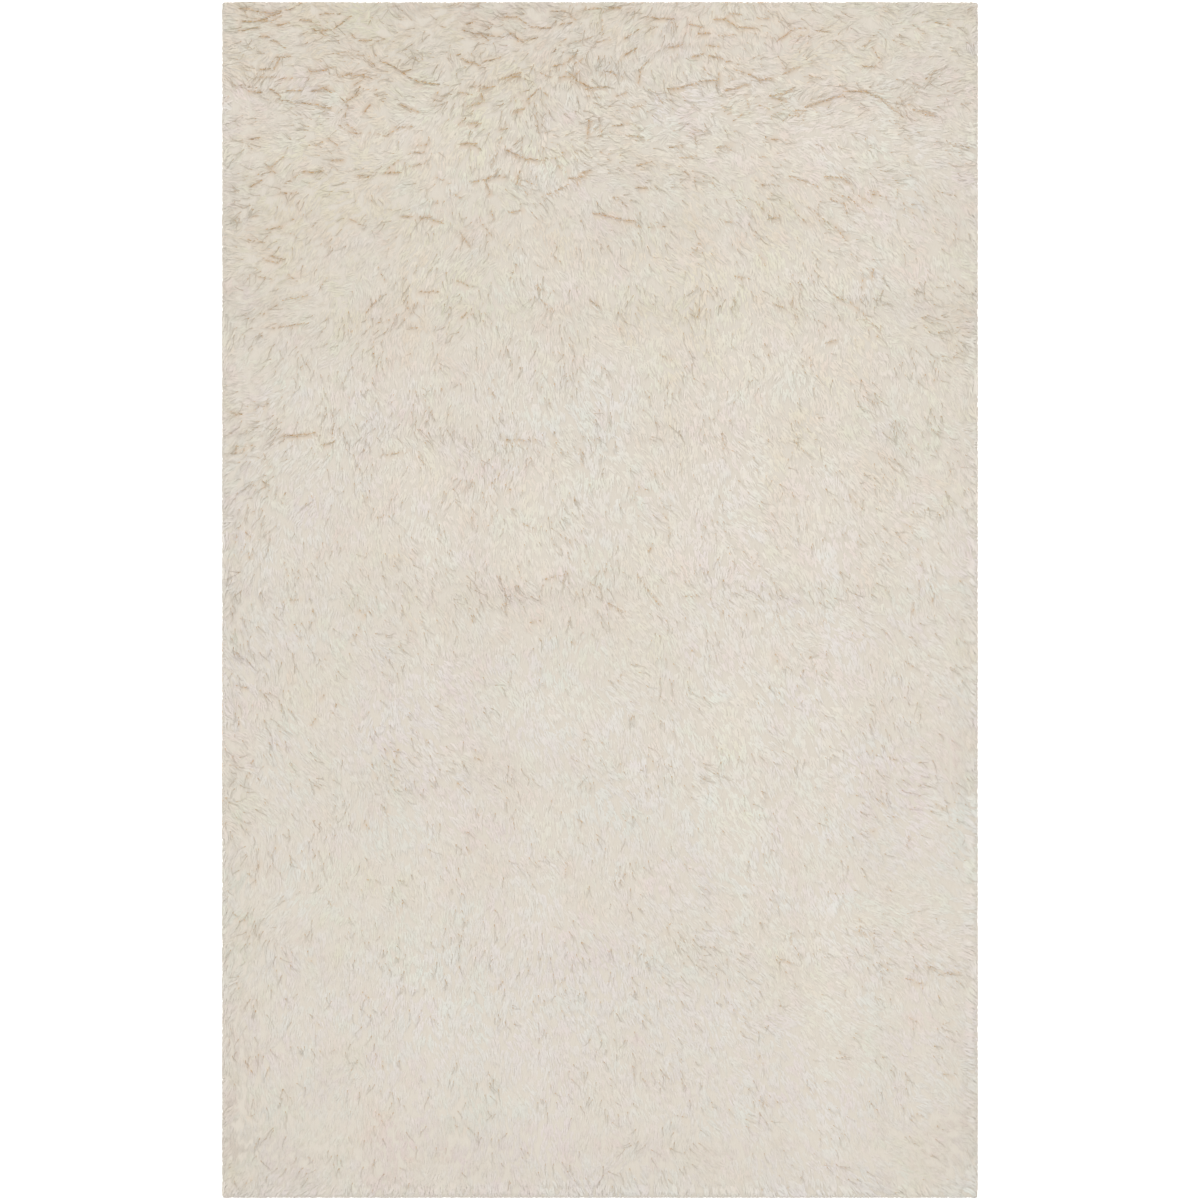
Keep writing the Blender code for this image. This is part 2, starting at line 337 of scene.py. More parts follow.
# %% Roughness
ROUGH_Y = (-1.2, -0.5, -0.1, 0.20, 0.42, 0.66, 0.78, 0.90, 1.02, 1.2)
ROUGH = (0.24, 0.29, 0.36, 0.40, 0.48, 0.54, 0.62, 0.74, 0.94, 1.0)
RIGHT_SMOOTHER = Ramp(start=0.0, end=0.32, amount=-0.22)
LEFT_EDGE_ROUGHER = Ramp(start=0.60, end=0.74, amount=0.26)  # over -x
RIGHT_EDGE_ROUGHER = Ramp(start=0.64, end=0.75, amount=0.14)
STRIPE_SMOOTHER = 5  # times a stripe's tone
ROUGH_PATCHES = Patches(amount=0.10, across=0.28, along=0.22, layer=61)
LEAST_ROUGH = 0.05


def roughness_at(x, y):
    rough = np.interp(y, ROUGH_Y, ROUGH) * (1 + ramped(RIGHT_SMOOTHER, x))
    rough = rough + ramped(LEFT_EDGE_ROUGHER, -x) + ramped(RIGHT_EDGE_ROUGHER, x)
    rough = rough + roll_marks_at(x, y)[0] - STRIPE_SMOOTHER * stripes_at(x, y)
    return np.clip(rough + patches(ROUGH_PATCHES, x, y), LEAST_ROUGH, 1)


def by_roughness(pair, rough):
    """The pair's value for wool of this roughness."""
    return pair[0] + pair[1] * rough


for place, y in (("head", 1.1), ("foot", -1.1)):
    print(f"roughness {float(roughness_at(0, y)):.2f} at the {place}")

# %% [markdown]
# ## Lumps
# Combed wool falls into lumps, each a hand's breadth or less, that lie slightly differently from
# their neighbours. Scattering one seed in each cell of a warped grid and giving every point to
# its nearest seed makes such lumps. Near the head they are wide and short, near the foot longer.

# %% Nearest lump
LUMP_ACROSS = 0.062
LUMP_ALONG_FOOT, LUMP_ALONG_HEAD = 0.070, 0.036
LONG_UP_TO_Y, SHORT_FROM_Y = -0.2, 0.9
LUMP_CELLS = 128  # along each side of the grid of lumps
CELLS_LEFT, CELLS_BELOW = 20, 3  # of that grid, to spare beyond the rug
WARP_U = Patches(amount=0.45, across=0.05, along=0.035, layer=71)
WARP_V = Patches(amount=0.45, across=0.05, along=0.035, layer=72)

lump_rng = np.random.default_rng(5)
seed_u, seed_v = lump_rng.uniform(0.1, 0.9, (2, LUMP_CELLS, LUMP_CELLS))
rows_y = np.linspace(-1.3, 1.3, 261)
rows_step = np.interp(rows_y, (LONG_UP_TO_Y, SHORT_FROM_Y), (LUMP_ALONG_FOOT, LUMP_ALONG_HEAD))
rows_v = np.cumsum((rows_y[1] - rows_y[0]) / rows_step)


def nearest_lump(x, y):
    """The lump that each point belongs to, as a number."""
    u = x / LUMP_ACROSS + CELLS_LEFT + patches(WARP_U, x, y)
    v = np.interp(y, rows_y, rows_v) + CELLS_BELOW + patches(WARP_V, x, y)
    i, j = np.floor(u).astype(int), np.floor(v).astype(int)
    nearest, lump = np.full(np.shape(x), np.inf), np.zeros(np.shape(x), int)
    for di in (-1, 0, 1):
        for dj in (-1, 0, 1):
            ci, cj = (i + di) % LUMP_CELLS, (j + dj) % LUMP_CELLS
            away = (i + di + seed_u[ci, cj] - u) ** 2 + (j + dj + seed_v[ci, cj] - v) ** 2
            lump = np.where(away < nearest, ci * LUMP_CELLS + cj, lump)
            nearest = np.minimum(away, nearest)
    return lump


print(f"the lump at the rug's middle has the number {int(nearest_lump(0, 0))}")

# %% What each lump does in its own way
lump_turn = lump_rng.normal(0, 1, LUMP_CELLS**2)
lump_keen = lump_rng.uniform(0, 1, LUMP_CELLS**2)
lump_shade = lump_rng.normal(0, 1, LUMP_CELLS**2)
lump_wave = lump_rng.uniform(0.5, 0.9, LUMP_CELLS**2)  # waves along a strand
lump_phase = lump_rng.uniform(0, 1, LUMP_CELLS**2)
print(f"lumps {1000 * LUMP_ACROSS:.0f} mm wide, {1000 * LUMP_ALONG_HEAD:.0f} mm long at the head")

# %% [markdown]
# ## Tufts
# A tuft is one knot of yarn in the ground cloth, which bursts into fifteen strands. The tufts
# stand in staggered rows, a little off their places. Each takes the comb's direction, turned by
# its lump, by the soft swirls that combing leaves, and by its own whim. Blender's own hair could
# grow them too. Strands made by hand can be cut exactly where the wool parts, and stay a mesh.

# %% Place the tufts
TUFT_STEP = 0.0178
TUFT_OFF = 0.4  # of a step, at the most, off its place
FIELD_IN = 0.008  # from the outline to the outermost tufts

rng = np.random.default_rng(11)
tuft_cols = round(2 * (HALF_WIDTH - FIELD_IN) / TUFT_STEP)
tuft_rows = round(2 * (HALF_LENGTH - FIELD_IN) / TUFT_STEP)
col, row = np.meshgrid(np.arange(tuft_cols), np.arange(tuft_rows))
tuft_x = ((col + 0.25 + 0.5 * (row % 2)) / tuft_cols * 2 - 1) * (HALF_WIDTH - FIELD_IN)
tuft_y = ((row + 0.5) / tuft_rows * 2 - 1) * (HALF_LENGTH - FIELD_IN)
tuft_x = (tuft_x + rng.uniform(-TUFT_OFF, TUFT_OFF, tuft_x.shape) * TUFT_STEP).ravel()
tuft_y = (tuft_y + rng.uniform(-TUFT_OFF, TUFT_OFF, tuft_y.shape) * TUFT_STEP).ravel()
print(f"{tuft_x.size} tufts in {tuft_rows} rows")

# %% Turn the tufts
DRIFT_DEG = Patches(amount=9, across=0.16, along=0.16, layer=81)
SWIRL_DEG = Patches(amount=32, across=0.045, along=0.04, layer=82)
LUMP_TURN_DEG = (9, 13)
LUMP_TURN_POWER = 1.6  # above 1, smooth wool turns less
OWN_TURN_DEG = (6.5, 3.5)

tuft_rough = roughness_at(tuft_x, tuft_y)
tuft_lump = nearest_lump(tuft_x, tuft_y)
tuft_turn = comb_turn(tuft_x, tuft_y) + patches(DRIFT_DEG, tuft_x, tuft_y)
tuft_turn += lump_turn[tuft_lump] * by_roughness(LUMP_TURN_DEG, tuft_rough**LUMP_TURN_POWER)
tuft_turn += tuft_rough * patches(SWIRL_DEG, tuft_x, tuft_y)
tuft_turn += rng.normal(0, 1, tuft_x.size) * by_roughness(OWN_TURN_DEG, tuft_rough)
print(f"they turn {tuft_turn.min():.0f} to {tuft_turn.max():.0f} degrees from straight down the rug")

# %% [markdown]
# ## Wisps and strands
# The wool of a tuft clings together in wisps, and the strands of a wisp draw closer towards
# their tips. The rougher the wool, the more they do. What one sees from above is the middle of a
# strand, so the middles are what is spread evenly, and the root follows from the reach.
# All strands are computed at once: one row of an array for each strand, one column for each of
# the four points along it.

# %% Wisps
WISPS_PER_TUFT, STRANDS_PER_WISP = 3, 5
TUFT_SPREAD = 0.0115  # radius of a tuft
WISP_SPREAD = 0.0055  # radius of a wisp
WISP_TURN_DEG = (2, 6)
DRAW_UNEVEN, DRAW_ROUGH = 0.2, 0.38  # shares by which a wisp's strands draw together
WISP_SINK = (0.006, 0.014)  # of the pile's height


def in_disc(radius, number):
    """Random places in a disc."""
    angle, away = rng.uniform(0, 2 * math.pi, number), radius * np.sqrt(rng.uniform(0, 1, number))
    return away * np.cos(angle), away * np.sin(angle)


tuft = np.repeat(np.arange(tuft_x.size), WISPS_PER_TUFT)
wisps = tuft.size
wisp_rough = tuft_rough[tuft]
wisp_along, wisp_aside = in_disc(TUFT_SPREAD, wisps)
wisp_turn = tuft_turn[tuft] + rng.normal(0, 1, wisps) * by_roughness(WISP_TURN_DEG, wisp_rough)
wisp_draw = rng.uniform(0.0, DRAW_UNEVEN, wisps) + DRAW_ROUGH * wisp_rough
wisp_level = 1 - rng.uniform(0, 1, wisps) * by_roughness(WISP_SINK, wisp_rough)
print(f"{wisps} wisps")

# %% Strands of the field
REACH = 0.044  # from a strand's root to its tip, along the ground
REACH_ROUGH, REACH_UNEVEN = 0.28, 0.22  # shorter by this share where rough, uneven everywhere
STRAND_TURN_DEG = (2, 3)
STRAND_SINK = (0.009, 0.021)  # of the pile's height
SINK_POWER = 1.5  # above 1, few strands sink that far
SECTIONS = np.array([0, 0.36, 0.72, 1.0])  # along a strand, from its root to its tip
FIELD_RISE = (0.74, 0.955, 1.0, 0.995)  # of the pile's height, at each section

wisp = np.repeat(np.arange(wisps), STRANDS_PER_WISP)
strands = wisp.size
rough, lump = wisp_rough[wisp], tuft_lump[tuft][wisp]
turn = np.radians(wisp_turn[wisp] + rng.normal(0, 1, strands) * by_roughness(STRAND_TURN_DEG, rough))
start_along, start_aside = in_disc(WISP_SPREAD, strands)
draw = wisp_draw[wisp]
reach = REACH * (1 - REACH_ROUGH * rough) * (1 + rng.uniform(-REACH_UNEVEN, REACH_UNEVEN, strands))
level = wisp_level[wisp] - rng.uniform(0, 1, strands) ** SINK_POWER * by_roughness(STRAND_SINK, rough)
ahead_x, ahead_y = np.sin(turn), -np.cos(turn)
from_along, from_aside = wisp_along[wisp] + start_along - reach / 2, wisp_aside[wisp] + start_aside
root_x = tuft_x[tuft][wisp] + ahead_x * from_along + np.cos(turn) * from_aside
root_y = tuft_y[tuft][wisp] + ahead_y * from_along + np.sin(turn) * from_aside
print(f"{strands} strands, {1000 * reach.min():.0f} to {1000 * reach.max():.0f} mm long")

# %% [markdown]
# ## Partings
# Where a lump's wool ends, the roots of the next lump show: a thin line, tan from the deep wool and darker
# with painted shade of the gap.
# The rug's head is full of them. They are listed where the rug has them, strip by strip from the
# head down, and small ones are strewn over the rest, more where the wool is rough. Each is a short
# straight line, of which `open` says how much of it has come apart. A crooked parting is written
# as two or three of them, end to end.

# %% The partings of the head
Parting = namedtuple("Parting", "x y half_length turn_deg open")
HEAD_LEFT = (
    (-0.715, 1.190, 0.012, -5, 1.0), (-0.680, 1.184, 0.024, -8, 0.8), (-0.700, 1.166, 0.026, 2, 1.0),
    (-0.665, 1.176, 0.018, 20, 1.0), (-0.640, 1.188, 0.016, 12, 0.6), (-0.615, 1.196, 0.014, 30, 0.7),
    (-0.705, 1.151, 0.020, 15, 0.8), (-0.640, 1.160, 0.014, 15, 0.8), (-0.655, 1.169, 0.014, 35, 0.6),
    (-0.595, 1.167, 0.012, 0, 0.9), (-0.575, 1.160, 0.010, -20, 0.5), (-0.545, 1.180, 0.020, 2, 0.6),
    (-0.555, 1.147, 0.012, 12, 0.9), (-0.520, 1.163, 0.022, 38, 0.8), (-0.678, 1.135, 0.012, 0, 0.9),
    (-0.650, 1.122, 0.016, -30, 0.8), (-0.473, 1.127, 0.014, 3, 0.8), (-0.498, 1.136, 0.006, -45, 0.7),
    (-0.637, 1.094, 0.012, 8, 1.0), (-0.652, 1.078, 0.014, 62, 0.9), (-0.675, 1.068, 0.012, 3, 0.8),
    (-0.665, 1.053, 0.022, 0, 0.6), (-0.635, 1.050, 0.014, 5, 0.6), (-0.520, 1.103, 0.012, 12, 0.6),
    (-0.570, 1.065, 0.018, 2, 0.8), (-0.548, 1.071, 0.014, 15, 0.7), (-0.515, 1.058, 0.014, 15, 1.0),
    (-0.490, 1.057, 0.014, 12, 1.0), (-0.470, 1.053, 0.010, -20, 0.7), (-0.430, 1.080, 0.016, -22, 0.8),
    (-0.405, 1.067, 0.016, -40, 0.8), (-0.390, 1.066, 0.010, 20, 0.9), (-0.375, 1.047, 0.012, -30, 0.8),
    (-0.350, 1.041, 0.024, -5, 1.0), (-0.570, 1.028, 0.014, 18, 1.0), (-0.552, 1.028, 0.010, -25, 1.0),
    (-0.620, 1.024, 0.020, 0, 0.7), (-0.655, 1.022, 0.014, -35, 0.8), (-0.697, 1.023, 0.012, 0, 0.9),
    (-0.635, 1.005, 0.014, -15, 0.8), (-0.595, 0.999, 0.024, -4, 1.0), (-0.557, 0.992, 0.016, -18, 1.0),
    (-0.515, 1.004, 0.010, -50, 0.7), (-0.500, 1.010, 0.014, 30, 0.8), (-0.490, 1.022, 0.010, 65, 0.8),
    (-0.470, 0.990, 0.010, 50, 0.9), (-0.512, 0.980, 0.010, 80, 0.6), (-0.388, 0.991, 0.022, -22, 0.8),
    (-0.445, 1.011, 0.010, -45, 0.6), (-0.465, 1.028, 0.014, -5, 0.5), (-0.562, 0.921, 0.014, 20, 0.6),
    (-0.540, 0.924, 0.012, -35, 0.6), (-0.515, 0.950, 0.016, -35, 0.5), (-0.493, 0.939, 0.010, 0, 0.7),
    (-0.450, 0.938, 0.016, -10, 0.5), (-0.695, 0.931, 0.010, 10, 0.9), (-0.655, 0.880, 0.020, 40, 0.8),
    (-0.665, 0.870, 0.014, -45, 0.8), (-0.530, 0.885, 0.012, 0, 0.7), (-0.580, 0.862, 0.022, 3, 0.8),
    (-0.372, 0.900, 0.016, 5, 0.6), (-0.370, 0.875, 0.018, 12, 0.6), (-0.420, 0.860, 0.016, 5, 0.9),
)
HEAD_MIDDLE = (
    (-0.186, 1.174, 0.018, 3, 0.9), (-0.155, 1.165, 0.014, -38, 0.7), (-0.122, 1.153, 0.020, -3, 0.9),
    (-0.212, 1.135, 0.018, -2, 0.7), (-0.170, 1.133, 0.018, -35, 0.9), (-0.140, 1.128, 0.014, 15, 0.6),
    (-0.262, 1.163, 0.010, 20, 0.8), (-0.258, 1.143, 0.020, -15, 0.6), (-0.235, 1.134, 0.012, -40, 0.7),
    (-0.262, 1.083, 0.020, -20, 0.9), (-0.220, 1.086, 0.018, 12, 0.8), (-0.294, 1.098, 0.010, 0, 0.6),
    (-0.180, 1.051, 0.020, 6, 1.0), (-0.172, 1.057, 0.010, 20, 0.9), (-0.228, 1.030, 0.010, 15, 1.0),
    (-0.135, 1.016, 0.018, 45, 0.9), (-0.112, 1.022, 0.012, -40, 0.5), (-0.155, 1.022, 0.008, 20, 0.6),
    (-0.272, 1.019, 0.014, -12, 0.8), (-0.253, 0.997, 0.016, 18, 0.7), (-0.164, 0.985, 0.011, 18, 1.0),
    (-0.195, 0.948, 0.006, 10, 0.9), (-0.254, 0.958, 0.014, 3, 0.9), (-0.278, 0.962, 0.010, 45, 0.7),
    (-0.266, 0.918, 0.018, 5, 0.9), (-0.248, 0.912, 0.010, -35, 0.7), (-0.165, 0.895, 0.026, -24, 1.0),
    (-0.125, 0.886, 0.016, -8, 0.8), (-0.085, 1.076, 0.010, 10, 0.9), (-0.058, 1.090, 0.010, 40, 0.8),
    (-0.045, 1.083, 0.010, 30, 0.6), (-0.108, 1.055, 0.010, -25, 0.7), (-0.072, 1.052, 0.012, 5, 0.7),
    (-0.055, 1.056, 0.012, -30, 0.9), (-0.034, 1.040, 0.014, -28, 1.0), (-0.005, 1.031, 0.022, 5, 0.9),
    (-0.010, 1.012, 0.012, -10, 0.5), (0.010, 1.064, 0.020, -3, 0.5), (0.035, 1.056, 0.014, -20, 0.5),
    (0.060, 1.102, 0.014, 28, 1.0), (-0.023, 0.950, 0.016, 85, 0.9), (-0.010, 0.948, 0.012, -5, 0.6),
    (0.042, 0.957, 0.014, 8, 0.7), (0.072, 0.932, 0.018, -5, 0.8), (0.028, 1.192, 0.012, 0, 1.0),
    (-0.015, 1.190, 0.016, 5, 0.7), (-0.085, 1.186, 0.014, -5, 0.7), (-0.058, 1.176, 0.012, -45, 0.6),
    (-0.070, 1.160, 0.012, 10, 0.7), (0.062, 1.137, 0.016, 35, 0.7), (-0.030, 1.128, 0.014, 20, 0.5),
    (0.005, 1.124, 0.016, 5, 0.5), (0.045, 1.018, 0.014, 20, 0.6), (-0.090, 0.892, 0.020, 10, 0.4),
    (0.010, 0.893, 0.012, -45, 0.5), (0.090, 0.879, 0.016, 12, 0.8), (-0.060, 0.900, 0.014, -3, 0.5),
)
HEAD_RIGHT = (
    (0.120, 1.171, 0.026, -3, 0.9), (0.195, 1.155, 0.014, -10, 0.8), (0.212, 1.141, 0.012, 3, 1.0),
    (0.245, 1.170, 0.012, 0, 1.0), (0.262, 1.162, 0.018, -32, 1.0), (0.300, 1.152, 0.018, 0, 1.0),
    (0.255, 1.137, 0.016, 5, 0.5), (0.275, 1.180, 0.012, -5, 0.7), (0.330, 1.172, 0.012, -5, 0.5),
    (0.150, 1.114, 0.014, 10, 0.9), (0.228, 1.115, 0.014, -3, 0.7), (0.200, 1.097, 0.012, 15, 0.8),
    (0.237, 1.092, 0.014, -12, 0.8), (0.270, 1.086, 0.014, 5, 0.5), (0.155, 1.030, 0.020, 5, 0.8),
    (0.185, 1.037, 0.014, 12, 0.7), (0.220, 1.045, 0.018, 5, 0.8), (0.270, 1.030, 0.014, 12, 0.9),
    (0.290, 1.035, 0.012, 20, 0.9), (0.282, 1.063, 0.012, -20, 0.8), (0.315, 1.052, 0.014, -25, 0.9),
    (0.335, 1.047, 0.012, 5, 1.0), (0.385, 1.066, 0.018, 22, 0.7), (0.375, 1.138, 0.018, 35, 0.9),
    (0.400, 1.150, 0.018, 0, 0.6), (0.405, 1.134, 0.020, 5, 0.5), (0.362, 1.018, 0.018, 8, 0.8),
    (0.382, 1.026, 0.012, 30, 0.8), (0.360, 1.009, 0.020, -18, 0.7), (0.403, 0.985, 0.014, 0, 0.9),
    (0.425, 0.997, 0.014, 22, 0.9), (0.392, 0.975, 0.010, -10, 0.8), (0.464, 1.008, 0.030, 17, 1.0),
    (0.515, 1.024, 0.024, 2, 1.0), (0.552, 1.016, 0.018, -20, 1.0), (0.591, 0.989, 0.028, -38, 0.7),
    (0.258, 0.989, 0.008, -20, 0.9), (0.330, 0.993, 0.016, -25, 0.6), (0.205, 0.944, 0.014, -3, 0.6),
    (0.155, 0.912, 0.012, 5, 0.6), (0.252, 0.911, 0.012, 3, 0.8), (0.175, 0.890, 0.012, 8, 0.6),
    (0.435, 1.052, 0.012, -5, 0.8), (0.450, 1.145, 0.012, -10, 0.8), (0.445, 0.912, 0.010, -30, 0.6),
    (0.088, 1.076, 0.016, 45, 0.7), (0.080, 1.052, 0.012, 80, 0.6), (0.545, 1.074, 0.014, 0, 0.7),
    (0.609, 1.120, 0.018, -25, 0.5), (0.692, 1.160, 0.014, -8, 0.8), (0.654, 0.985, 0.022, -8, 0.8),
    (0.662, 0.978, 0.014, -12, 0.7), (0.722, 0.916, 0.024, -15, 0.5), (0.476, 0.850, 0.022, -5, 0.9),
)
print(f"{len(HEAD_LEFT + HEAD_MIDDLE + HEAD_RIGHT)} partings at the head")

# %% The partings further down
MIDDLE = (
    (-0.480, 0.853, 0.012, -10, 0.9), (-0.694, 0.839, 0.014, 35, 0.9), (-0.630, 0.820, 0.018, 0, 0.6),
    (-0.491, 0.760, 0.016, -25, 0.6), (-0.657, 0.748, 0.018, 10, 0.7), (-0.694, 0.722, 0.018, -5, 0.6),
    (-0.650, 0.690, 0.014, -15, 0.8), (-0.621, 0.650, 0.012, -40, 0.6), (-0.614, 0.608, 0.028, 10, 0.7),
    (-0.624, 0.552, 0.040, 8, 0.6), (-0.228, 0.832, 0.014, -65, 1.0), (-0.222, 0.850, 0.014, 35, 0.9),
    (-0.205, 0.853, 0.014, 0, 0.6), (-0.250, 0.843, 0.014, 10, 0.7), (-0.165, 0.848, 0.014, 75, 1.0),
    (-0.290, 0.815, 0.014, -30, 0.6), (-0.318, 0.845, 0.016, -30, 0.5), (-0.390, 0.771, 0.010, 0, 0.8),
    (-0.352, 0.770, 0.012, 5, 0.9), (-0.330, 0.763, 0.014, -20, 0.9), (-0.170, 0.782, 0.012, 5, 0.8),
    (-0.230, 0.748, 0.022, -52, 0.5), (-0.272, 0.725, 0.020, -52, 0.6), (-0.098, 0.817, 0.006, 0, 0.9),
    (-0.075, 0.830, 0.016, 25, 0.7), (-0.045, 0.850, 0.014, 5, 1.0), (-0.026, 0.863, 0.008, 20, 1.0),
    (0.000, 0.777, 0.012, -5, 0.9), (0.025, 0.769, 0.022, -12, 0.9), (0.060, 0.763, 0.012, 0, 0.9),
    (0.078, 0.753, 0.008, -45, 0.8), (-0.275, 0.637, 0.012, -20, 0.7), (-0.270, 0.575, 0.014, 40, 0.6),
    (-0.380, 0.547, 0.008, 0, 1.0), (-0.345, 0.620, 0.020, 0, 0.6), (-0.010, 0.596, 0.012, -40, 0.8),
    (-0.105, 0.592, 0.014, -40, 0.6), (-0.175, 0.660, 0.016, 65, 0.5), (0.085, 0.830, 0.012, 0, 0.8),
    (0.345, 0.835, 0.018, -5, 0.6), (0.400, 0.847, 0.020, -14, 0.9), (0.425, 0.838, 0.016, -25, 0.7),
    (0.497, 0.844, 0.010, -40, 0.8), (0.520, 0.795, 0.024, -42, 0.6), (0.552, 0.822, 0.010, -15, 0.6),
    (0.330, 0.785, 0.022, -42, 0.6), (0.352, 0.768, 0.010, 0, 0.9), (0.275, 0.815, 0.014, -50, 0.5),
    (0.445, 0.770, 0.030, -40, 0.6), (0.487, 0.735, 0.018, -50, 0.7), (0.405, 0.770, 0.018, -45, 0.6),
    (0.550, 0.656, 0.006, 80, 1.0), (0.485, 0.607, 0.014, -25, 0.7), (0.520, 0.585, 0.018, -40, 0.5),
    (0.388, 0.597, 0.008, 80, 0.9), (0.360, 0.592, 0.012, -20, 0.7), (0.199, 0.577, 0.010, 75, 0.8),
    (0.467, 0.520, 0.012, 15, 0.7), (0.598, 0.815, 0.010, 80, 0.6), (0.700, 0.817, 0.018, -15, 0.5),
)
FOOT = (
    (-0.606, 0.332, 0.036, 6, 0.9), (-0.550, 0.314, 0.014, 15, 0.8), (-0.415, 0.294, 0.026, 5, 0.5),
    (-0.359, 0.280, 0.010, -50, 0.7), (-0.735, 0.376, 0.012, -12, 0.7), (-0.673, 0.234, 0.010, -35, 0.8),
    (-0.732, 0.297, 0.014, 10, 0.5), (-0.708, 0.130, 0.008, -45, 0.6), (-0.157, 0.322, 0.030, 0, 0.5),
    (-0.617, 0.000, 0.008, 10, 0.6), (-0.477, -0.027, 0.007, -40, 0.7), (-0.184, 0.224, 0.008, -45, 0.7),
    (0.035, -0.017, 0.020, -25, 0.7), (-0.087, 0.047, 0.020, 10, 0.5), (0.109, 0.003, 0.020, -55, 0.6),
    (0.187, 0.008, 0.012, 0, 0.5), (-0.128, -0.043, 0.010, 10, 0.6), (0.516, 0.195, 0.020, -45, 0.5),
    (0.527, -0.668, 0.012, -35, 0.6), (0.633, -0.768, 0.016, -20, 0.7), (0.668, -0.739, 0.014, -35, 0.5),
    (0.704, -0.753, 0.020, 5, 0.5), (0.572, -0.739, 0.014, -40, 0.5), (0.631, -0.848, 0.008, -30, 0.6),
    (0.553, -1.023, 0.014, -45, 0.5), (-0.700, -0.560, 0.012, -50, 0.5), (-0.726, -0.640, 0.014, -35, 0.5),
)
large_partings = [Parting(*row) for row in HEAD_LEFT + HEAD_MIDDLE + HEAD_RIGHT + MIDDLE + FOOT]
print(f"{len(large_partings)} partings placed by hand")

# %% Small partings between them
SMALL_PARTINGS = 300
SMALL_IN = 0.03  # from the outline
SMALL_HALF_LENGTH, SMALL_LONGER = (0.005, 0.014), (0.8, 0.7)
SMALL_ASTRAY_DEG = 60  # at the most, from the comb's way
SMALL_OPEN, SMALL_OPEN_ROUGH = (0.15, 0.45), 0.25
SMALL_CHANCE = (0.15, 0.60)


def small_partings():
    """Short partings strewn at random, more, longer and wider ones where the wool is rough."""
    strew = np.random.default_rng(33)
    found = []
    while len(found) < SMALL_PARTINGS:
        x = strew.uniform(SMALL_IN - HALF_WIDTH, HALF_WIDTH - SMALL_IN)
        y = strew.uniform(SMALL_IN - HALF_LENGTH, HALF_LENGTH - SMALL_IN)
        rough_here = float(roughness_at(x, y))
        half_length = strew.uniform(*SMALL_HALF_LENGTH) * by_roughness(SMALL_LONGER, rough_here)
        turn_deg = float(comb_turn(x, y)) - 90 + strew.uniform(-SMALL_ASTRAY_DEG, SMALL_ASTRAY_DEG)
        opened = strew.uniform(*SMALL_OPEN) + SMALL_OPEN_ROUGH * rough_here
        if strew.uniform(0, 1) < by_roughness(SMALL_CHANCE, rough_here):
            found.append(Parting(x, y, half_length, turn_deg, opened))
    return found


all_partings = large_partings + small_partings()


def at_parting(parting, x, y):
    """Distances along and across the parting's line from its middle."""
    line = math.radians(parting.turn_deg)
    dx, dy = x - parting.x, y - parting.y
    return dx * math.cos(line) + dy * math.sin(line), dy * math.cos(line) - dx * math.sin(line)


print(f"{len(all_partings) - len(large_partings)} small partings between them")

# %% [markdown]
# A strand that would lie across such a line is cut there. If most of it is before the line it
# stops just short, and its tip overhangs. If most of it is beyond the line it starts there, so
# its root shows.

# %% Cut the strands at the partings
GAP = 0.0007  # that a strand keeps from the line
STOPS_FROM = 0.45  # share of a strand before the line, from which on it stops there
CUT_CHANCE = 1.25  # at the middle of an open line; it falls towards both ends
LINE_WANDER = Patches(amount=0.0015, across=0.015, along=0.015, layer=91)
LINE_UNEVEN = 0.0006

start, end = np.zeros(strands), np.ones(strands)
started = np.zeros(strands)
tip_x, tip_y = root_x + ahead_x * reach, root_y + ahead_y * reach
chance = rng.uniform(0, 1, strands)
wander = patches(LINE_WANDER, root_x, root_y) + rng.uniform(-LINE_UNEVEN, LINE_UNEVEN, strands)
for parting in all_partings:
    root_along, root_across = at_parting(parting, root_x, root_y)
    tip_along, tip_across = at_parting(parting, tip_x, tip_y)
    root_across, tip_across = root_across + wander, tip_across + wander
    crossing = root_across * tip_across < 0
    share = np.where(crossing, root_across / np.where(crossing, root_across - tip_across, 1), 1)
    off_middle = np.abs(root_along + share * (tip_along - root_along)) / parting.half_length
    cut = crossing & (off_middle < 1) & (chance < parting.open * (CUT_CHANCE - off_middle**3))
    stops, starts = cut & (share >= STOPS_FROM), cut & (share < STOPS_FROM)
    end = np.where(stops, np.minimum(end, share - GAP / reach), end)
    start = np.where(starts, np.maximum(start, share + GAP / reach), start)
    started = np.where(starts, np.maximum(started, parting.open), started)
print(f"{int((end < 1).sum())} strands stop at a parting, {int((start > 0).sum())} start there")

# %% [markdown]
# Fewer strands are cut where they leave their lump, which draws the lump's edge softly. All are
# cut at the rug's outline, where the carpet maker sheared them.

# %% Cut them at the lumps' edges
KEPT_IN = 0.6  # share of the strands of a keen lump of rough wool
START_SHARES, START_PAST = (0.12, 0.30), 0.05  # shares of a strand that are tried, and a bit more
END_SHARES, END_PAST = (0.70, 0.88), 0.03

kept_in = chance < KEPT_IN * lump_keen[lump] * rough
for share in START_SHARES + END_SHARES:
    there_x, there_y = root_x + ahead_x * reach * share, root_y + ahead_y * reach * share
    strayed = kept_in & (nearest_lump(there_x, there_y) != lump)
    if share in START_SHARES:
        start = np.where(strayed, np.maximum(start, share + START_PAST), start)
    else:
        end = np.where(strayed, np.minimum(end, share + END_PAST), end)
print(f"{int((kept_in & (end < 1)).sum())} strands end at the edge of their lump")

# %% Cut them at the outline
SHORTEST = 0.22  # of its reach, that a strand keeps at the least
EDGE_HANG = 0.004  # past the outline, before its tip is pushed down there

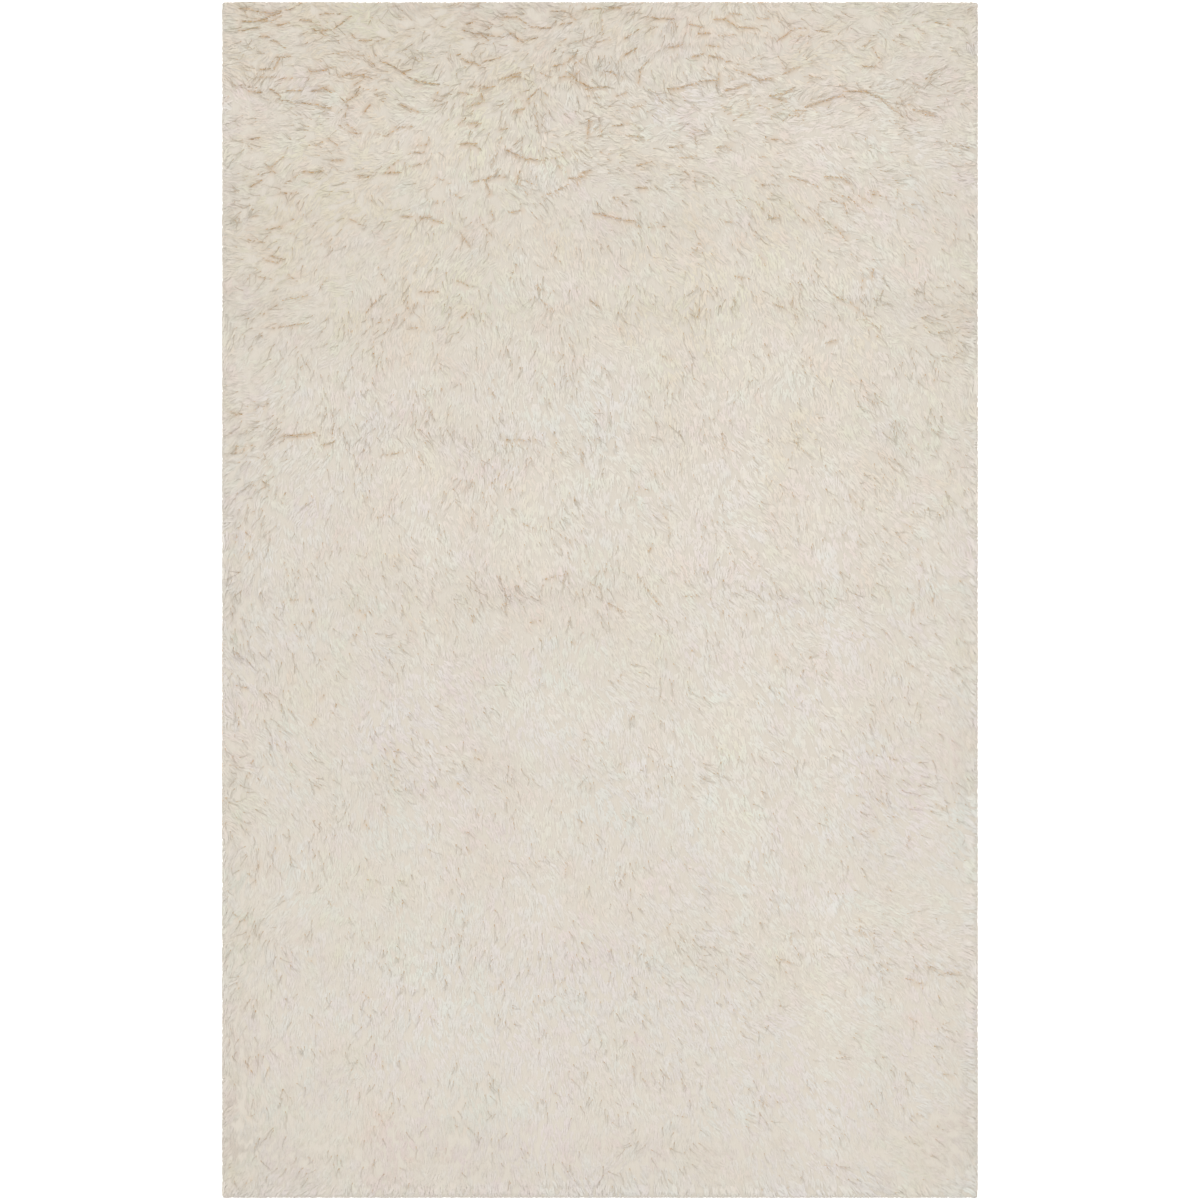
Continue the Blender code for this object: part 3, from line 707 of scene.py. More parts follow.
for root, ahead, half in ((root_x, ahead_x, HALF_WIDTH), (root_y, ahead_y, HALF_LENGTH)):
    way = np.where(ahead == 0, 1e-9, ahead) * reach
    enter, leave = (-np.sign(way) * half - root) / way, (np.sign(way) * half - root) / way
    start = np.maximum(start, enter)
    end = np.minimum(end, leave + EDGE_HANG / reach)
start = np.minimum(start, 1 - SHORTEST)
end = np.maximum(end, start + SHORTEST)
root_x, root_y = root_x + ahead_x * reach * start, root_y + ahead_y * reach * start
reach = reach * (end - start)
print(f"what is left of them is {1000 * reach.min():.0f} to {1000 * reach.max():.0f} mm long")

# %% [markdown]
# In the gap itself lie short, thin strands of the next lump, laid on top of the pile, tan and
# darker for most of their length: partly the roots' own colour and partly painted shade of the
# gap. A brush with fine hairs would draw such a parting in two ways, and so do they: strands that
# follow the line make its core, and feathers that cross it at a slant, the comb's way, make it
# look like a braid.

# %% Strands in the partings
CORE_STEP, FEATHER_STEP = 0.0030, 0.0036  # of a line that is fully open, for each strand
CORE_POWER, FEATHER_POWER = 2, 1.7  # how fast they get fewer in a line that is less open
CORE_SLANT_DEG, FEATHER_SLANT_DEG, SLANT_UNEVEN = 5, 30, (0.6, 1.4)
CORE_LENGTH, FEATHER_LENGTH = (0.006, 0.014), (0.0045, 0.0105)
FEATHERS_TO, FEATHER_OFF = 0.9, 0.1  # of the line's half length: the outermost, and off its place
STROKE_RISE = (0.985, 0.998, 1.0, 0.995)
STROKE_UNEVEN = 0.0003
STROKE_WANDER = Patches(amount=0.0016, across=0.012, along=0.03, layer=92)


def strands_of(parting):
    """Roots, turns, lengths and openings of the short strands in one parting."""
    cores = max(1, round(2 * parting.half_length * parting.open**CORE_POWER / CORE_STEP))
    feathers = round(2 * parting.half_length * parting.open**FEATHER_POWER / FEATHER_STEP)
    line = math.radians(parting.turn_deg)
    comb = math.radians(float(comb_turn(parting.x, parting.y)) - 90)
    core_along = rng.uniform(-1, 1, cores)
    feather_along = np.linspace(-FEATHERS_TO, FEATHERS_TO, feathers)
    feather_along = feather_along + rng.uniform(-FEATHER_OFF, FEATHER_OFF, feathers)
    along = np.concatenate([core_along, feather_along])
    core_slant = np.abs(rng.normal(0, CORE_SLANT_DEG, cores))
    feather_slant = FEATHER_SLANT_DEG * rng.uniform(*SLANT_UNEVEN, feathers)
    length = np.concatenate([rng.uniform(*CORE_LENGTH, cores), rng.uniform(*FEATHER_LENGTH, feathers)])
    slant = math.copysign(1, math.sin(2 * (comb - line))) * np.concatenate([core_slant, feather_slant])
    toward = line + np.radians(slant) + math.pi / 2
    if math.cos(comb - line) < 0:
        toward = toward + math.pi
    x = parting.x + along * parting.half_length * math.cos(line) - np.sin(toward) * length / 2
    y = parting.y + along * parting.half_length * math.sin(line) + np.cos(toward) * length / 2
    return np.stack([x, y, toward, length, np.full(cores + feathers, parting.open)])


in_partings = np.concatenate([strands_of(parting) for parting in all_partings], axis=1)
stroke_x, stroke_y, stroke_turn, stroke_reach, stroke_open = in_partings
stroke_wander = patches(STROKE_WANDER, stroke_x, stroke_y)
stroke_x = stroke_x + rng.normal(0, STROKE_UNEVEN, stroke_x.size)
stroke_y = stroke_y + rng.normal(0, STROKE_UNEVEN, stroke_y.size) + stroke_wander
print(f"{stroke_x.size} strands in partings")

# %% [markdown]
# ## Rim strands
# Along the outline the pile has nothing to lie on but the floor. An extra row of strands leans
# out over the ground cloth's edge under the others, and covers the side of the pile. A plain wall
# would do that too, but its straight edge would show between the tips.

# %% Strands of the rim
RIM_STEP = 0.0017
RIM_ROOT_IN, RIM_CORNER_IN = 0.017, 0.006
RIM_REACH, RIM_REACH_UNEVEN = 0.026, (0.8, 1.2)
RIM_RISE = (0.60, 0.92, 1.0, 0.97)
RIM_SIDE_DEG = 68.0  # at the long edges, from straight down the rug
FAN_DEG, FAN_REACH = 45, 0.3  # how far the strands of the head fan out from its middle
RIM_ASTRAY_DEG = 14
RIM_UNEVEN = 0.004


def rim_strands():
    """Roots and turns of the rim strands, side by side along the four edges."""
    found = []
    long_side = np.arange(-HALF_LENGTH + RIM_CORNER_IN, HALF_LENGTH - RIM_CORNER_IN, RIM_STEP)
    short_side = np.arange(-HALF_WIDTH + RIM_CORNER_IN, HALF_WIDTH - RIM_CORNER_IN, RIM_STEP)
    for way in (-1, 1):
        edge_x = np.full_like(long_side, way * (HALF_WIDTH - RIM_ROOT_IN))
        found.append((edge_x, long_side, way * RIM_SIDE_DEG))
        outward = 180.0 if way > 0 else 0.0
        found.append((short_side, np.full_like(short_side, way * (HALF_LENGTH - RIM_ROOT_IN)), outward))
    x = np.concatenate([place[0] for place in found])
    y = np.concatenate([place[1] for place in found])
    turn = np.concatenate([np.full(len(place[0]), place[2]) for place in found])
    return x, y, turn


rim_x, rim_y, rim_turn = rim_strands()
at_head = rim_turn == 180
rim_turn = np.where(at_head, 180 - FAN_DEG * np.clip(rim_x / FAN_REACH, -1, 1), rim_turn)
rim_turn = np.radians(rim_turn + rng.normal(0, RIM_ASTRAY_DEG, rim_x.size))
rim_x = rim_x + rng.uniform(-RIM_UNEVEN, RIM_UNEVEN, rim_x.size)
rim_y = rim_y + rng.uniform(-RIM_UNEVEN, RIM_UNEVEN, rim_y.size)
print(f"{rim_x.size} rim strands")

# %% Join the three lists
STROKE_LEVEL, RIM_LEVEL = (1.0, 1.02), (0.93, 0.98)
STROKES_PER_WISP = 6

strokes, rims = stroke_x.size, rim_x.size
count = strands + strokes + rims
root_x = np.concatenate([root_x, stroke_x, rim_x])
root_y = np.concatenate([root_y, stroke_y, rim_y])
turn = np.concatenate([turn, stroke_turn, rim_turn])
reach = np.concatenate([reach, stroke_reach, RIM_REACH * rng.uniform(*RIM_REACH_UNEVEN, rims)])
level = np.concatenate([level, rng.uniform(*STROKE_LEVEL, strokes), rng.uniform(*RIM_LEVEL, rims)])
rise = np.repeat([FIELD_RISE, STROKE_RISE, RIM_RISE], (strands, strokes, rims), axis=0)
gather = np.concatenate([-draw * start_aside, np.zeros(strokes + rims)])
started = np.concatenate([started, stroke_open, np.zeros(rims)])
rough = np.concatenate([rough, roughness_at(root_x[strands:], root_y[strands:])])
lump = np.concatenate([lump, nearest_lump(root_x[strands:], root_y[strands:])])
wisp = np.concatenate([wisp, wisps + np.arange(strokes + rims) // STROKES_PER_WISP])
is_shade_stroke = np.repeat((False, True, False), (strands, strokes, rims))
print(f"{count} strands in all")

# %% [markdown]
# ## Dark hairs of painted shade
# A few strands in a hundred are made short, thin and dark, and lie loosely on top of the rest, in
# clusters: painted shade, standing for the dark gaps between wisps. There are more of them where
# the pile is rough. They are strands of the field that are changed, not added, so the pile gets no
# denser where they lie.

# %% Choose the dark hairs
SHADOW_HAIR_CHANCE = (0.004, 0.046)
HAIR_CLUSTERS = Patches(amount=1.5, across=0.06, along=0.06, layer=97)
HAIR_REACH = (0.012, 0.032)
HAIR_LEVEL = 1.012
HAIR_ASTRAY = 0.26  # radians that a hair lies off the comb's way

shadow_hair_chance = by_roughness(SHADOW_HAIR_CHANCE, rough) * (1 + patches(HAIR_CLUSTERS, root_x, root_y))
is_shadow_hair = (np.arange(count) < strands) & (rng.uniform(0, 1, count) < shadow_hair_chance)
turn = np.where(is_shadow_hair, turn + rng.normal(0, HAIR_ASTRAY, count), turn)
reach = np.where(is_shadow_hair, rng.uniform(*HAIR_REACH, count), reach)
level = np.where(is_shadow_hair, HAIR_LEVEL, level)
rise = np.where(is_shadow_hair[:, None], STROKE_RISE, rise)
print(f"{int(is_shadow_hair.sum())} dark hairs")

# %% [markdown]
# ## The path of a strand
# A strand starts steep and flattens out, so its way along the ground grows faster towards the
# tip. A slow sine to the side makes it wavy, more so in the rough wool, and the strands of a lump
# wave together. Those in the partings stay nearly straight. Any point that would pass the rug's
# outline is held there and sinks towards the floor instead, as wool hangs over an edge.

# %% Bend the strands
FORWARD = SECTIONS**1.15  # of the reach, at each section; above 1, a strand starts steep
CURL = (0.0010, 0.0030)  # at the tip, to the side
WAVE_UNEVEN, PHASE_UNEVEN = 0.08, 0.07

wave = (lump_wave[lump] + rng.normal(0, WAVE_UNEVEN, count))[:, None]
phase = (lump_phase[lump] + rng.normal(0, PHASE_UNEVEN, count))[:, None]
curl = by_roughness(CURL, np.where(is_shadow_hair, 1, np.where(is_shade_stroke, 0, rough)))[:, None] * SECTIONS
curl = curl * (np.sin(2 * math.pi * (wave * SECTIONS + phase)) - np.sin(2 * math.pi * phase))
forward = reach[:, None] * FORWARD
sideways = gather[:, None] * SECTIONS + curl
ahead_x, ahead_y, aside_x, aside_y = np.sin(turn), -np.cos(turn), np.cos(turn), np.sin(turn)
path_x = root_x[:, None] + ahead_x[:, None] * forward + aside_x[:, None] * sideways
path_y = root_y[:, None] + ahead_y[:, None] * forward + aside_y[:, None] * sideways
print(f"the strands swing up to {1000 * np.abs(curl).max():.1f} mm to a side")

# %% Hold them inside the outline
CORNER_RADIUS = 0.008
EDGE_IN, EDGE_UNEVEN = 0.0003, 0.0010

edge_in = EDGE_IN + EDGE_UNEVEN * rng.uniform(0, 1, count)[:, None] ** 2
limit_x, limit_y = HALF_WIDTH - edge_in, HALF_LENGTH - edge_in
over = np.maximum(np.abs(path_x) - limit_x, 0) + np.maximum(np.abs(path_y) - limit_y, 0)
path_x, path_y = np.clip(path_x, -limit_x, limit_x), np.clip(path_y, -limit_y, limit_y)
corner_x, corner_y = HALF_WIDTH - CORNER_RADIUS, HALF_LENGTH - CORNER_RADIUS
out_x, out_y = np.maximum(np.abs(path_x) - corner_x, 0), np.maximum(np.abs(path_y) - corner_y, 0)
out = np.hypot(out_x, out_y)
beyond = (out_x > 0) & (out_y > 0) & (out > CORNER_RADIUS)
pull = np.where(beyond, CORNER_RADIUS / np.maximum(out, 1e-6), 1)
path_x = np.where(pull < 1, np.sign(path_x) * (corner_x + out_x * pull), path_x)
path_y = np.where(pull < 1, np.sign(path_y) * (corner_y + out_y * pull), path_y)
print(f"{int((over > 0).any(axis=1).sum())} strands reach the outline")

# %% Lift them to the pile's height
FLOOR_GAP, FLOOR_UNEVEN = 0.0008, 0.002
FIELD_HANG, RIM_HANG = 1.3, 2.4  # how far a strand hangs down for the length it is held back
DROOP = 0.03  # of the pile's height, at the tip
AT_TIP = SECTIONS > 0.9

droop = DROOP * rng.uniform(0, 1, count)[:, None] ** 2 * AT_TIP
path_z = pile_top(path_x, path_y) - PILE_HEIGHT * (1 - level[:, None] * (rise - droop))
hang = np.repeat((FIELD_HANG, RIM_HANG), (strands + strokes, rims))[:, None]
lowest = FLOOR_GAP + FLOOR_UNEVEN * rng.uniform(0, 1, count)[:, None]
path_z = np.maximum(path_z - hang * over, lowest)
path = np.stack([path_x, path_y, path_z], axis=-1)
print(f"strand heights up to {path_z.max():.4f} m")

# %% [markdown]
# ## Ribbons
# At this size a strand is best made as a narrow ribbon that tapers to a point: two four-sided
# faces and a triangle, lying flat enough that it shows its width from above. A tube would need at
# least four times the faces. Every ribbon is rolled a little about its own length, so that each
# catches the light differently.

# %% Corners of the ribbons
HALF_STRAND = 0.0016
HAIR_WIDTH, STROKE_WIDTH = 0.36, 0.40  # of a common strand's
WIDTH_UNEVEN, WIDTH_ROUGH = (0.75, 1.25), (1.05, -0.25)
TAPER = np.array([0.80, 1.0, 0.85, 0.0])
ROLL_DEG = (2.5, 4.5)
TWIST = 0.2  # radians from root to tip, at the most half of it to either side

along = np.gradient(path, axis=1)
along /= np.linalg.norm(along, axis=-1, keepdims=True) + 1e-9
level_side = np.stack([along[..., 1], -along[..., 0], np.zeros_like(path_x)], axis=-1)
level_side += 1e-6 * np.stack([aside_x, aside_y, 0 * aside_x], axis=-1)[:, None, :]
level_side /= np.linalg.norm(level_side, axis=-1, keepdims=True)
lifted_side = np.cross(level_side, along)
roll = np.radians(rng.normal(0, 1, count) * by_roughness(ROLL_DEG, rough))[:, None]
roll = roll + TWIST * (phase - 0.5) * SECTIONS
side_way = level_side * np.cos(roll)[..., None] + lifted_side * np.sin(roll)[..., None]
thickness = rng.uniform(*WIDTH_UNEVEN, count) * by_roughness(WIDTH_ROUGH, rough)
thickness *= np.where(is_shadow_hair, HAIR_WIDTH, np.where(is_shade_stroke, STROKE_WIDTH, 1))
half = (HALF_STRAND * thickness[:, None] * TAPER)[..., None]
left, right = path - side_way * half, path + side_way * half
for edge in (left, right):
    edge[..., 2] = np.maximum(edge[..., 2], FLOOR_GAP / 2)
    edge[..., 0] = np.clip(edge[..., 0], -HALF_WIDTH, HALF_WIDTH)
    edge[..., 1] = np.clip(edge[..., 1], -HALF_LENGTH, HALF_LENGTH)
widths = 2000 * HALF_STRAND * thickness
print(f"ribbons {widths.min():.1f} to {widths.max():.1f} mm wide")

# %% [markdown]
# ## Tone of the wool
# The wool isn't one colour. It is warmer and lighter at the head, deeper along the left edge and
# towards the foot, and from patch to patch it changes softly in three ways: darker or lighter,
# yellower or paler, pinkish or greenish. The changes of lightness along and across the rug are
# partly the wool's own tone and partly painted light and shade. Every strand takes the three values
# of its own place and keeps them from root to tip, and the material reads them from the mesh. The
# wool next to the outline, and the strands that hang over it, are painted lighter: painted light
# against the shade on the sloping rim.

# %% Tone
# partly the wool's own tone, partly painted light and shade along the rug
TONE_Y, TONE = zip(  # how far up the rug from its middle, and how light it is there
    (-1.2, 0.97), (-1.1, 0.90), (-1.0, 0.93), (-0.7, 0.96), (-0.45, 0.97), (-0.2, 0.978),
    (-0.05, 0.975), (0.1, 1.009), (0.45, 0.994), (0.55, 0.986), (0.68, 0.99), (0.80, 0.97),
    (0.91, 1.03), (1.03, 1.028), (1.1, 0.998), (1.2, 0.956),
)
# darker towards both long sides: partly the wool's own tone, partly painted shade
LEFT_DARKER = Ramp(start=-0.45, end=0.76, amount=-0.048)  # over -x
RIGHT_DARKER = Ramp(start=0.46, end=0.76, amount=-0.030)
# painted light: the wool right at the outline is made lighter, against the shade on the sloping rim
RIM_PAINTED_LIGHT, RIM_LIGHT_REACH = 0.06, 0.008


def round_patches(*rows):
    """Kinds of patches that are as long as wide, from rows of an amount, a size and a layer."""
    return [Patches(amount, size, size, layer) for amount, size, layer in rows]


def layered(kinds, x, y):
    return sum(patches(kind, x, y) for kind in kinds)


TONE_PATCHES = round_patches((0.015, 0.26, 41), (0.014, 0.11, 42), (0.009, 0.05, 43), (0.006, 0.025, 44))


def tone_at(x, y):
    """How light the wool is, around 1."""
    tone = np.interp(y, TONE_Y, TONE) + ramped(LEFT_DARKER, -x) + ramped(RIGHT_DARKER, x)
    tone = tone - roll_marks_at(x, y)[1] + stripes_at(x, y)
    # painted light along the outline
    tone = tone + RIM_PAINTED_LIGHT * np.exp(-((inside_by(x, y) / RIM_LIGHT_REACH) ** 2))
    return tone + layered(TONE_PATCHES, x, y)


print(f"tone {float(tone_at(0, 0)):.3f} at the rug's middle")

# %% Warmth and blush
FOOT_WARMTH, LEAST_WARMTH = 0.24, 0.1
WARMER_HEAD = Ramp(start=-1.3, end=1.4, amount=0.48)
WARMTH_PATCHES = round_patches((0.17, 0.20, 51), (0.16, 0.09, 54), (0.20, 0.035, 52), (0.17, 0.015, 53))
BLUSH_PATCHES = round_patches((0.012, 0.20, 55), (0.013, 0.09, 56), (0.020, 0.035, 57), (0.018, 0.015, 58))


def warmth_at(x, y):
    """From 0, pale, to 1, yellowish."""
    warmth = FOOT_WARMTH + ramped(WARMER_HEAD, y) + layered(WARMTH_PATCHES, x, y)
    return np.clip(warmth, LEAST_WARMTH, 1)


def blush_at(x, y):
    """Above 1 pinkish, below 1 greenish."""
    return 1 + layered(BLUSH_PATCHES, x, y)


print(f"at the middle, warmth {float(warmth_at(0, 0)):.2f} and blush {float(blush_at(0, 0)):.3f}")

# %% Painted light at the sides
# painted light at each side of the outline, for strands whose tips reach it
SIDE_PAINTED_LIGHT = {"left": 0.025, "right": 0.055, "head": 0.0, "foot": 0.014}


def side_painted_light_at(x, y):
    """How much lighter a strand is whose tip lies at x, y: painted light against the shade on the rim."""
    away = {"left": HALF_WIDTH + x, "right": HALF_WIDTH - x}
    away.update(head=HALF_LENGTH - y, foot=HALF_LENGTH + y)
    lighter = np.zeros(np.shape(x))
    for side, light in SIDE_PAINTED_LIGHT.items():
        lighter = lighter + light * np.exp(-((away[side] / RIM_LIGHT_REACH) ** 2))
    return lighter


for side, light in SIDE_PAINTED_LIGHT.items():
    print(f"{side}: {100 * light:.1f} % lighter where a tip hangs over it")

# %% Values of every strand
STRAND_UNEVEN, WISP_UNEVEN, LUMP_UNEVEN = 0.011, (0.004, 0.008), 0.003
SHADOW_HAIR_DARKEST, SHADOW_HAIR_LIGHTEST = (0.84, -0.25), (0.95, -0.09)
STROKE_PAINTED_SHADE, STROKE_ROUGHER = 0.58, (0.2, 0.8)
STROKE_POWER = 2.3  # above 1, few of them are dark
TAN_COMMON, TAN_STARTED, STROKE_TAN_AND_SHADE, SHADOW_HAIR_TAN = (0.12, 0.08), 0.07, (0.5, 0.4), 0.3
TAN_UNEVEN, TAN_LEAST = 0.04, 0.03

middle_x, middle_y = path_x[:, 1], path_y[:, 1]
wisp_shade = np.random.default_rng(21).normal(0, 1, wisp.max() + 1)
shade = 1 + STRAND_UNEVEN * rng.normal(0, 1, count)
shade += by_roughness(WISP_UNEVEN, rough) * wisp_shade[wisp] + LUMP_UNEVEN * lump_shade[lump]
# the tone, with its painted light and shade, and painted light where tips reach the outline
shade *= tone_at(middle_x, middle_y) * (1 + side_painted_light_at(path_x[:, 3], path_y[:, 3]))
# painted shade: the dark hairs are made darker, for the gaps between wisps
shadow_hair_shade = rng.uniform(by_roughness(SHADOW_HAIR_DARKEST, rough), by_roughness(SHADOW_HAIR_LIGHTEST, rough))
shade *= np.where(is_shadow_hair, shadow_hair_shade, 1)
# painted shade: the strands in the partings are made darker, for the shade in the gap
darker = STROKE_PAINTED_SHADE * rng.uniform(0, 1, count) ** STROKE_POWER * by_roughness(STROKE_ROUGHER, rough)
shade *= np.where(is_shade_stroke, 1 - darker, 1)
warmth, blush = warmth_at(middle_x, middle_y), blush_at(middle_x, middle_y)
# tan at the roots: partly the wool's own colour, partly painted shade of the deep pile
root_tan_and_shade = np.where(started > 0, TAN_STARTED, by_roughness(TAN_COMMON, rough))
root_tan_and_shade = root_tan_and_shade + TAN_UNEVEN * rng.normal(0, 1, count)
root_tan_and_shade = np.where(is_shade_stroke, by_roughness(STROKE_TAN_AND_SHADE, rough), np.where(is_shadow_hair, SHADOW_HAIR_TAN, root_tan_and_shade))
root_tan_and_shade = np.clip(root_tan_and_shade, TAN_LEAST, 1)
print(f"shade {shade.min():.2f} to {shade.max():.2f}, warmth {warmth.min():.2f} to {warmth.max():.2f}")

# %% [markdown]
# ## Wool
# Wool is matt and nearly white, tan and darker at the roots, where neither light nor wear
# reaches it. That tan is partly the wool's own colour and partly painted shade of the deep pile.
# The material reads where on its strand a point lies from a UV map: across in U, from root to tip
# in V. Fine streaks along the strand stand for its fibres, in the colour and in the bump. A darker
# strand is also a warmer one, because light that has passed through more wool has turned yellower.

# %% Helpers for nodes
def feed(material, socket, value):
    """Give an input its number or colour, or link it to another node's output."""
    if isinstance(value, bpy.types.NodeSocket):
        material.node_tree.links.new(value, socket)
    else:
        socket.default_value = value


def new_node(material, kind, inputs=None, **settings):
    """A node with its settings and inputs. An input goes by its name or by its number."""
    node = material.node_tree.nodes.new(kind)
    for name, value in settings.items():
        setattr(node, name, value)
    for name, value in (inputs or {}).items():
        feed(material, node.inputs[name], value)
    return node


def attribute(material, name):
    """The number that each point of the mesh carries under this name."""
    return new_node(material, "ShaderNodeAttribute", attribute_name=name).outputs["Fac"]


def maths(material, operation, first, second):
    return new_node(material, "ShaderNodeMath", {0: first, 1: second}, operation=operation).outputs[0]


def mixed(material, amount, first, second, blend="MIX"):
    """A mix of two colours."""
    inputs = {0: amount, 6: first, 7: second}
    return new_node(material, "ShaderNodeMix", inputs, data_type="RGBA", blend_type=blend).outputs[2]


def noise(material, vector, detail):
    inputs = {"Vector": vector, "Scale": 1.0, "Detail": detail}
    return new_node(material, "ShaderNodeTexNoise", inputs).outputs["Fac"]


def finish_surface(material, shader, colour, height, distance, strength=1.0):
    """Give a shader its colour, and the bumps of a height."""
    inputs = {"Height": height, "Distance": distance, "Strength": strength}
    bump = new_node(material, "ShaderNodeBump", inputs)
    feed(material, shader.inputs["Base Color"], colour)
    feed(material, shader.inputs["Normal"], bump.outputs["Normal"])


print("materials so far:", [material.name for material in bpy.data.materials])

# %% Wool material
PALE_IVORY = (0.685, 0.654, 0.626, 1)
WARM_IVORY = (0.685, 0.623, 0.520, 1)
# the roots' tan: partly the wool's own colour, partly painted shade
ROOT_TAN_AND_SHADE = (0.59, 0.365, 0.150, 1)
STREAKS_ACROSS, STREAKS_UP = 1.9, 2.0
STREAKS_APART = 300.0  # so far that no two strands share their streaks
STREAK_TONE = {"From Min": 0.3, "From Max": 0.7, "To Min": 0.95, "To Max": 1.05}
ROUND_BUMP = 3.0  # height of a strand's round back, for 1 of its streaks
SHEEN = {"Sheen Weight": 0.15, "Sheen Roughness": 0.5}
Channel = namedtuple("Channel", "name shade_power blush_power")
CHANNELS = (
    Channel("Red", shade_power=0.85, blush_power=0.3),
    Channel("Green", shade_power=1.0, blush_power=-1.0),
    Channel("Blue", shade_power=1.25, blush_power=-0.4),
)


def fibre_streaks(wool, across, up, own_shade):
    """Noise stretched along the strand, different on every strand."""
    scales = {"X": (across, STREAKS_ACROSS), "Y": (up, STREAKS_UP), "Z": (own_shade, STREAKS_APART)}
    scaled = {axis: maths(wool, "MULTIPLY", *pair) for axis, pair in scales.items()}
    return noise(wool, new_node(wool, "ShaderNodeCombineXYZ", scaled).outputs[0], detail=2.0)


def tinted(wool, colour, tone):
    """The colour made darker or lighter by its tone, and pinker or greener by its blush."""
    blush_here = attribute(wool, "blush")
    tint = new_node(wool, "ShaderNodeCombineColor")
    for channel in CHANNELS:
        shaded = maths(wool, "POWER", tone, channel.shade_power)
        blushed = maths(wool, "POWER", blush_here, channel.blush_power)
        feed(wool, tint.inputs[channel.name], maths(wool, "MULTIPLY", shaded, blushed))
    return mixed(wool, 1.0, colour, tint.outputs["Color"], "MULTIPLY")


def wool_material():
    wool, shader = new_material("ivory_wool", 0.85)
    strand_map = new_node(wool, "ShaderNodeUVMap", uv_map="strand").outputs["UV"]
    split = new_node(wool, "ShaderNodeSeparateXYZ", {0: strand_map})
    across, up = split.outputs["X"], split.outputs["Y"]
    own_shade = attribute(wool, "shade")

    fading = {"Value": up, "From Max": attribute(wool, "root_tan_and_shade"), "To Min": 1, "To Max": 0}
    fade = new_node(wool, "ShaderNodeMapRange", fading, interpolation_type="SMOOTHSTEP")
    colour = mixed(wool, attribute(wool, "warmth"), PALE_IVORY, WARM_IVORY)
    colour = mixed(wool, fade.outputs["Result"], colour, ROOT_TAN_AND_SHADE)

    streaks = fibre_streaks(wool, across, up, own_shade)
    streak_tone = new_node(wool, "ShaderNodeMapRange", {"Value": streaks, **STREAK_TONE})
    tone = maths(wool, "MULTIPLY", own_shade, streak_tone.outputs["Result"])

    # A strand is round: its middle stands higher than its two edges.
    from_middle = maths(wool, "SUBTRACT", across, 0.5)
    round_back = maths(wool, "SUBTRACT", 1.0, maths(wool, "MULTIPLY", from_middle, from_middle))
    height = maths(wool, "ADD", maths(wool, "MULTIPLY", round_back, ROUND_BUMP), streaks)
    finish_surface(wool, shader, tinted(wool, colour, tone), height, distance=0.0004, strength=0.4)
    for name, value in SHEEN.items():
        shader.inputs[name].default_value = value
    return wool


wool = wool_material()
print(f"wool material with {len(wool.node_tree.nodes)} nodes")

# %% [markdown]
# ## The pile as five pieces
# One mesh of all strands would be too heavy to handle, so the pile is cut into five bands across
# the rug. Each strand gets its own small cell in a second UV map. A texture baked from the material
# needs such a map, where nothing overlaps.

# %% Helpers for pieces
def triangles(thing):
    return sum(len(face.vertices) - 2 for face in thing.data.polygons)


def dress(thing, name):
    """Put a finished piece into the scene in the slab's place."""
    bpy.context.scene.collection.objects.link(thing)
    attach(thing, "root")
    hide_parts("rug")
    print(name, triangles(thing), "triangles")


def add_values(mesh, label, values):
    """A number for each point of the mesh, which the material reads by its label."""
    mesh.attributes.new(label, "FLOAT", "POINT").data.foreach_set("value", values.astype(np.float32))


print(f"the plain slab has {triangles(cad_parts['rug'])} triangles")

# %% Make a band of pile
BANDS = 5
POINTS = 7  # of a strand: three pairs and the tip
FACE_CORNERS = ((0, 1, 3, 2), (2, 3, 5, 4))
TIP_CORNERS = (4, 5, 6)
POINT_ACROSS = np.array([0, 1, 0, 1, 0, 1, 0.5])
POINT_SECTION = np.array([0, 0, 1, 1, 2, 2, 3])
CELL_MARGIN_U, CELL_MARGIN_V = 0.1, 0.06
STRAND_VALUES = {"shade": shade, "root_tan_and_shade": root_tan_and_shade, "warmth": warmth, "blush": blush}


def add_uv_maps(mesh, number):
    """The map of a strand's own width and length, and the one with a cell for each strand."""
    corners = np.empty(len(mesh.loops), np.int32)
    mesh.loops.foreach_get("vertex_index", corners)
    strand, corner = corners // POINTS, corners % POINTS
    across, up = POINT_ACROSS[corner], SECTIONS[POINT_SECTION[corner]]
    cells = math.ceil(math.sqrt(number))
    cell_u = (strand % cells + CELL_MARGIN_U + (1 - 2 * CELL_MARGIN_U) * across) / cells
    cell_v = (strand // cells + CELL_MARGIN_V + (1 - 2 * CELL_MARGIN_V) * up) / cells
    for map_name, u, v in (("OFBake", cell_u, cell_v), ("strand", across, up)):
        layer = mesh.uv_layers.new(name=map_name)
        layer.data.foreach_set("uv", np.stack([u, v], axis=1).astype(np.float32).ravel())


def pile_band(name, chosen):
    """One mesh object of the chosen strands: seven points, two quads and a tip for each."""
    pairs = np.stack([left[chosen, :3], right[chosen, :3]], axis=2).reshape(len(chosen), 6, 3)
    points = np.concatenate([pairs, path[chosen, 3:4]], axis=1)
    first = POINTS * np.arange(len(chosen))
    quads = first[:, None, None] + np.array(FACE_CORNERS)
    tips = first[:, None] + np.array(TIP_CORNERS)
    faces = quads.reshape(-1, 4).tolist() + tips.tolist()
    mesh = bpy.data.meshes.new(name)
    mesh.from_pydata(points.reshape(-1, 3).tolist(), [], faces)
    mesh.shade_smooth()
    add_uv_maps(mesh, len(chosen))
    for label, values in STRAND_VALUES.items():
        add_values(mesh, label, np.repeat(values[chosen], POINTS))
    mesh.materials.append(wool)
    band = bpy.data.objects.new(name, mesh)
    dress(band, name)
    return band


# %% Grow the pile
from_foot = np.argsort(root_y)
for number, chosen in enumerate(np.array_split(from_foot, BANDS), start=1):
    pile_band(f"pile_{number}", chosen)

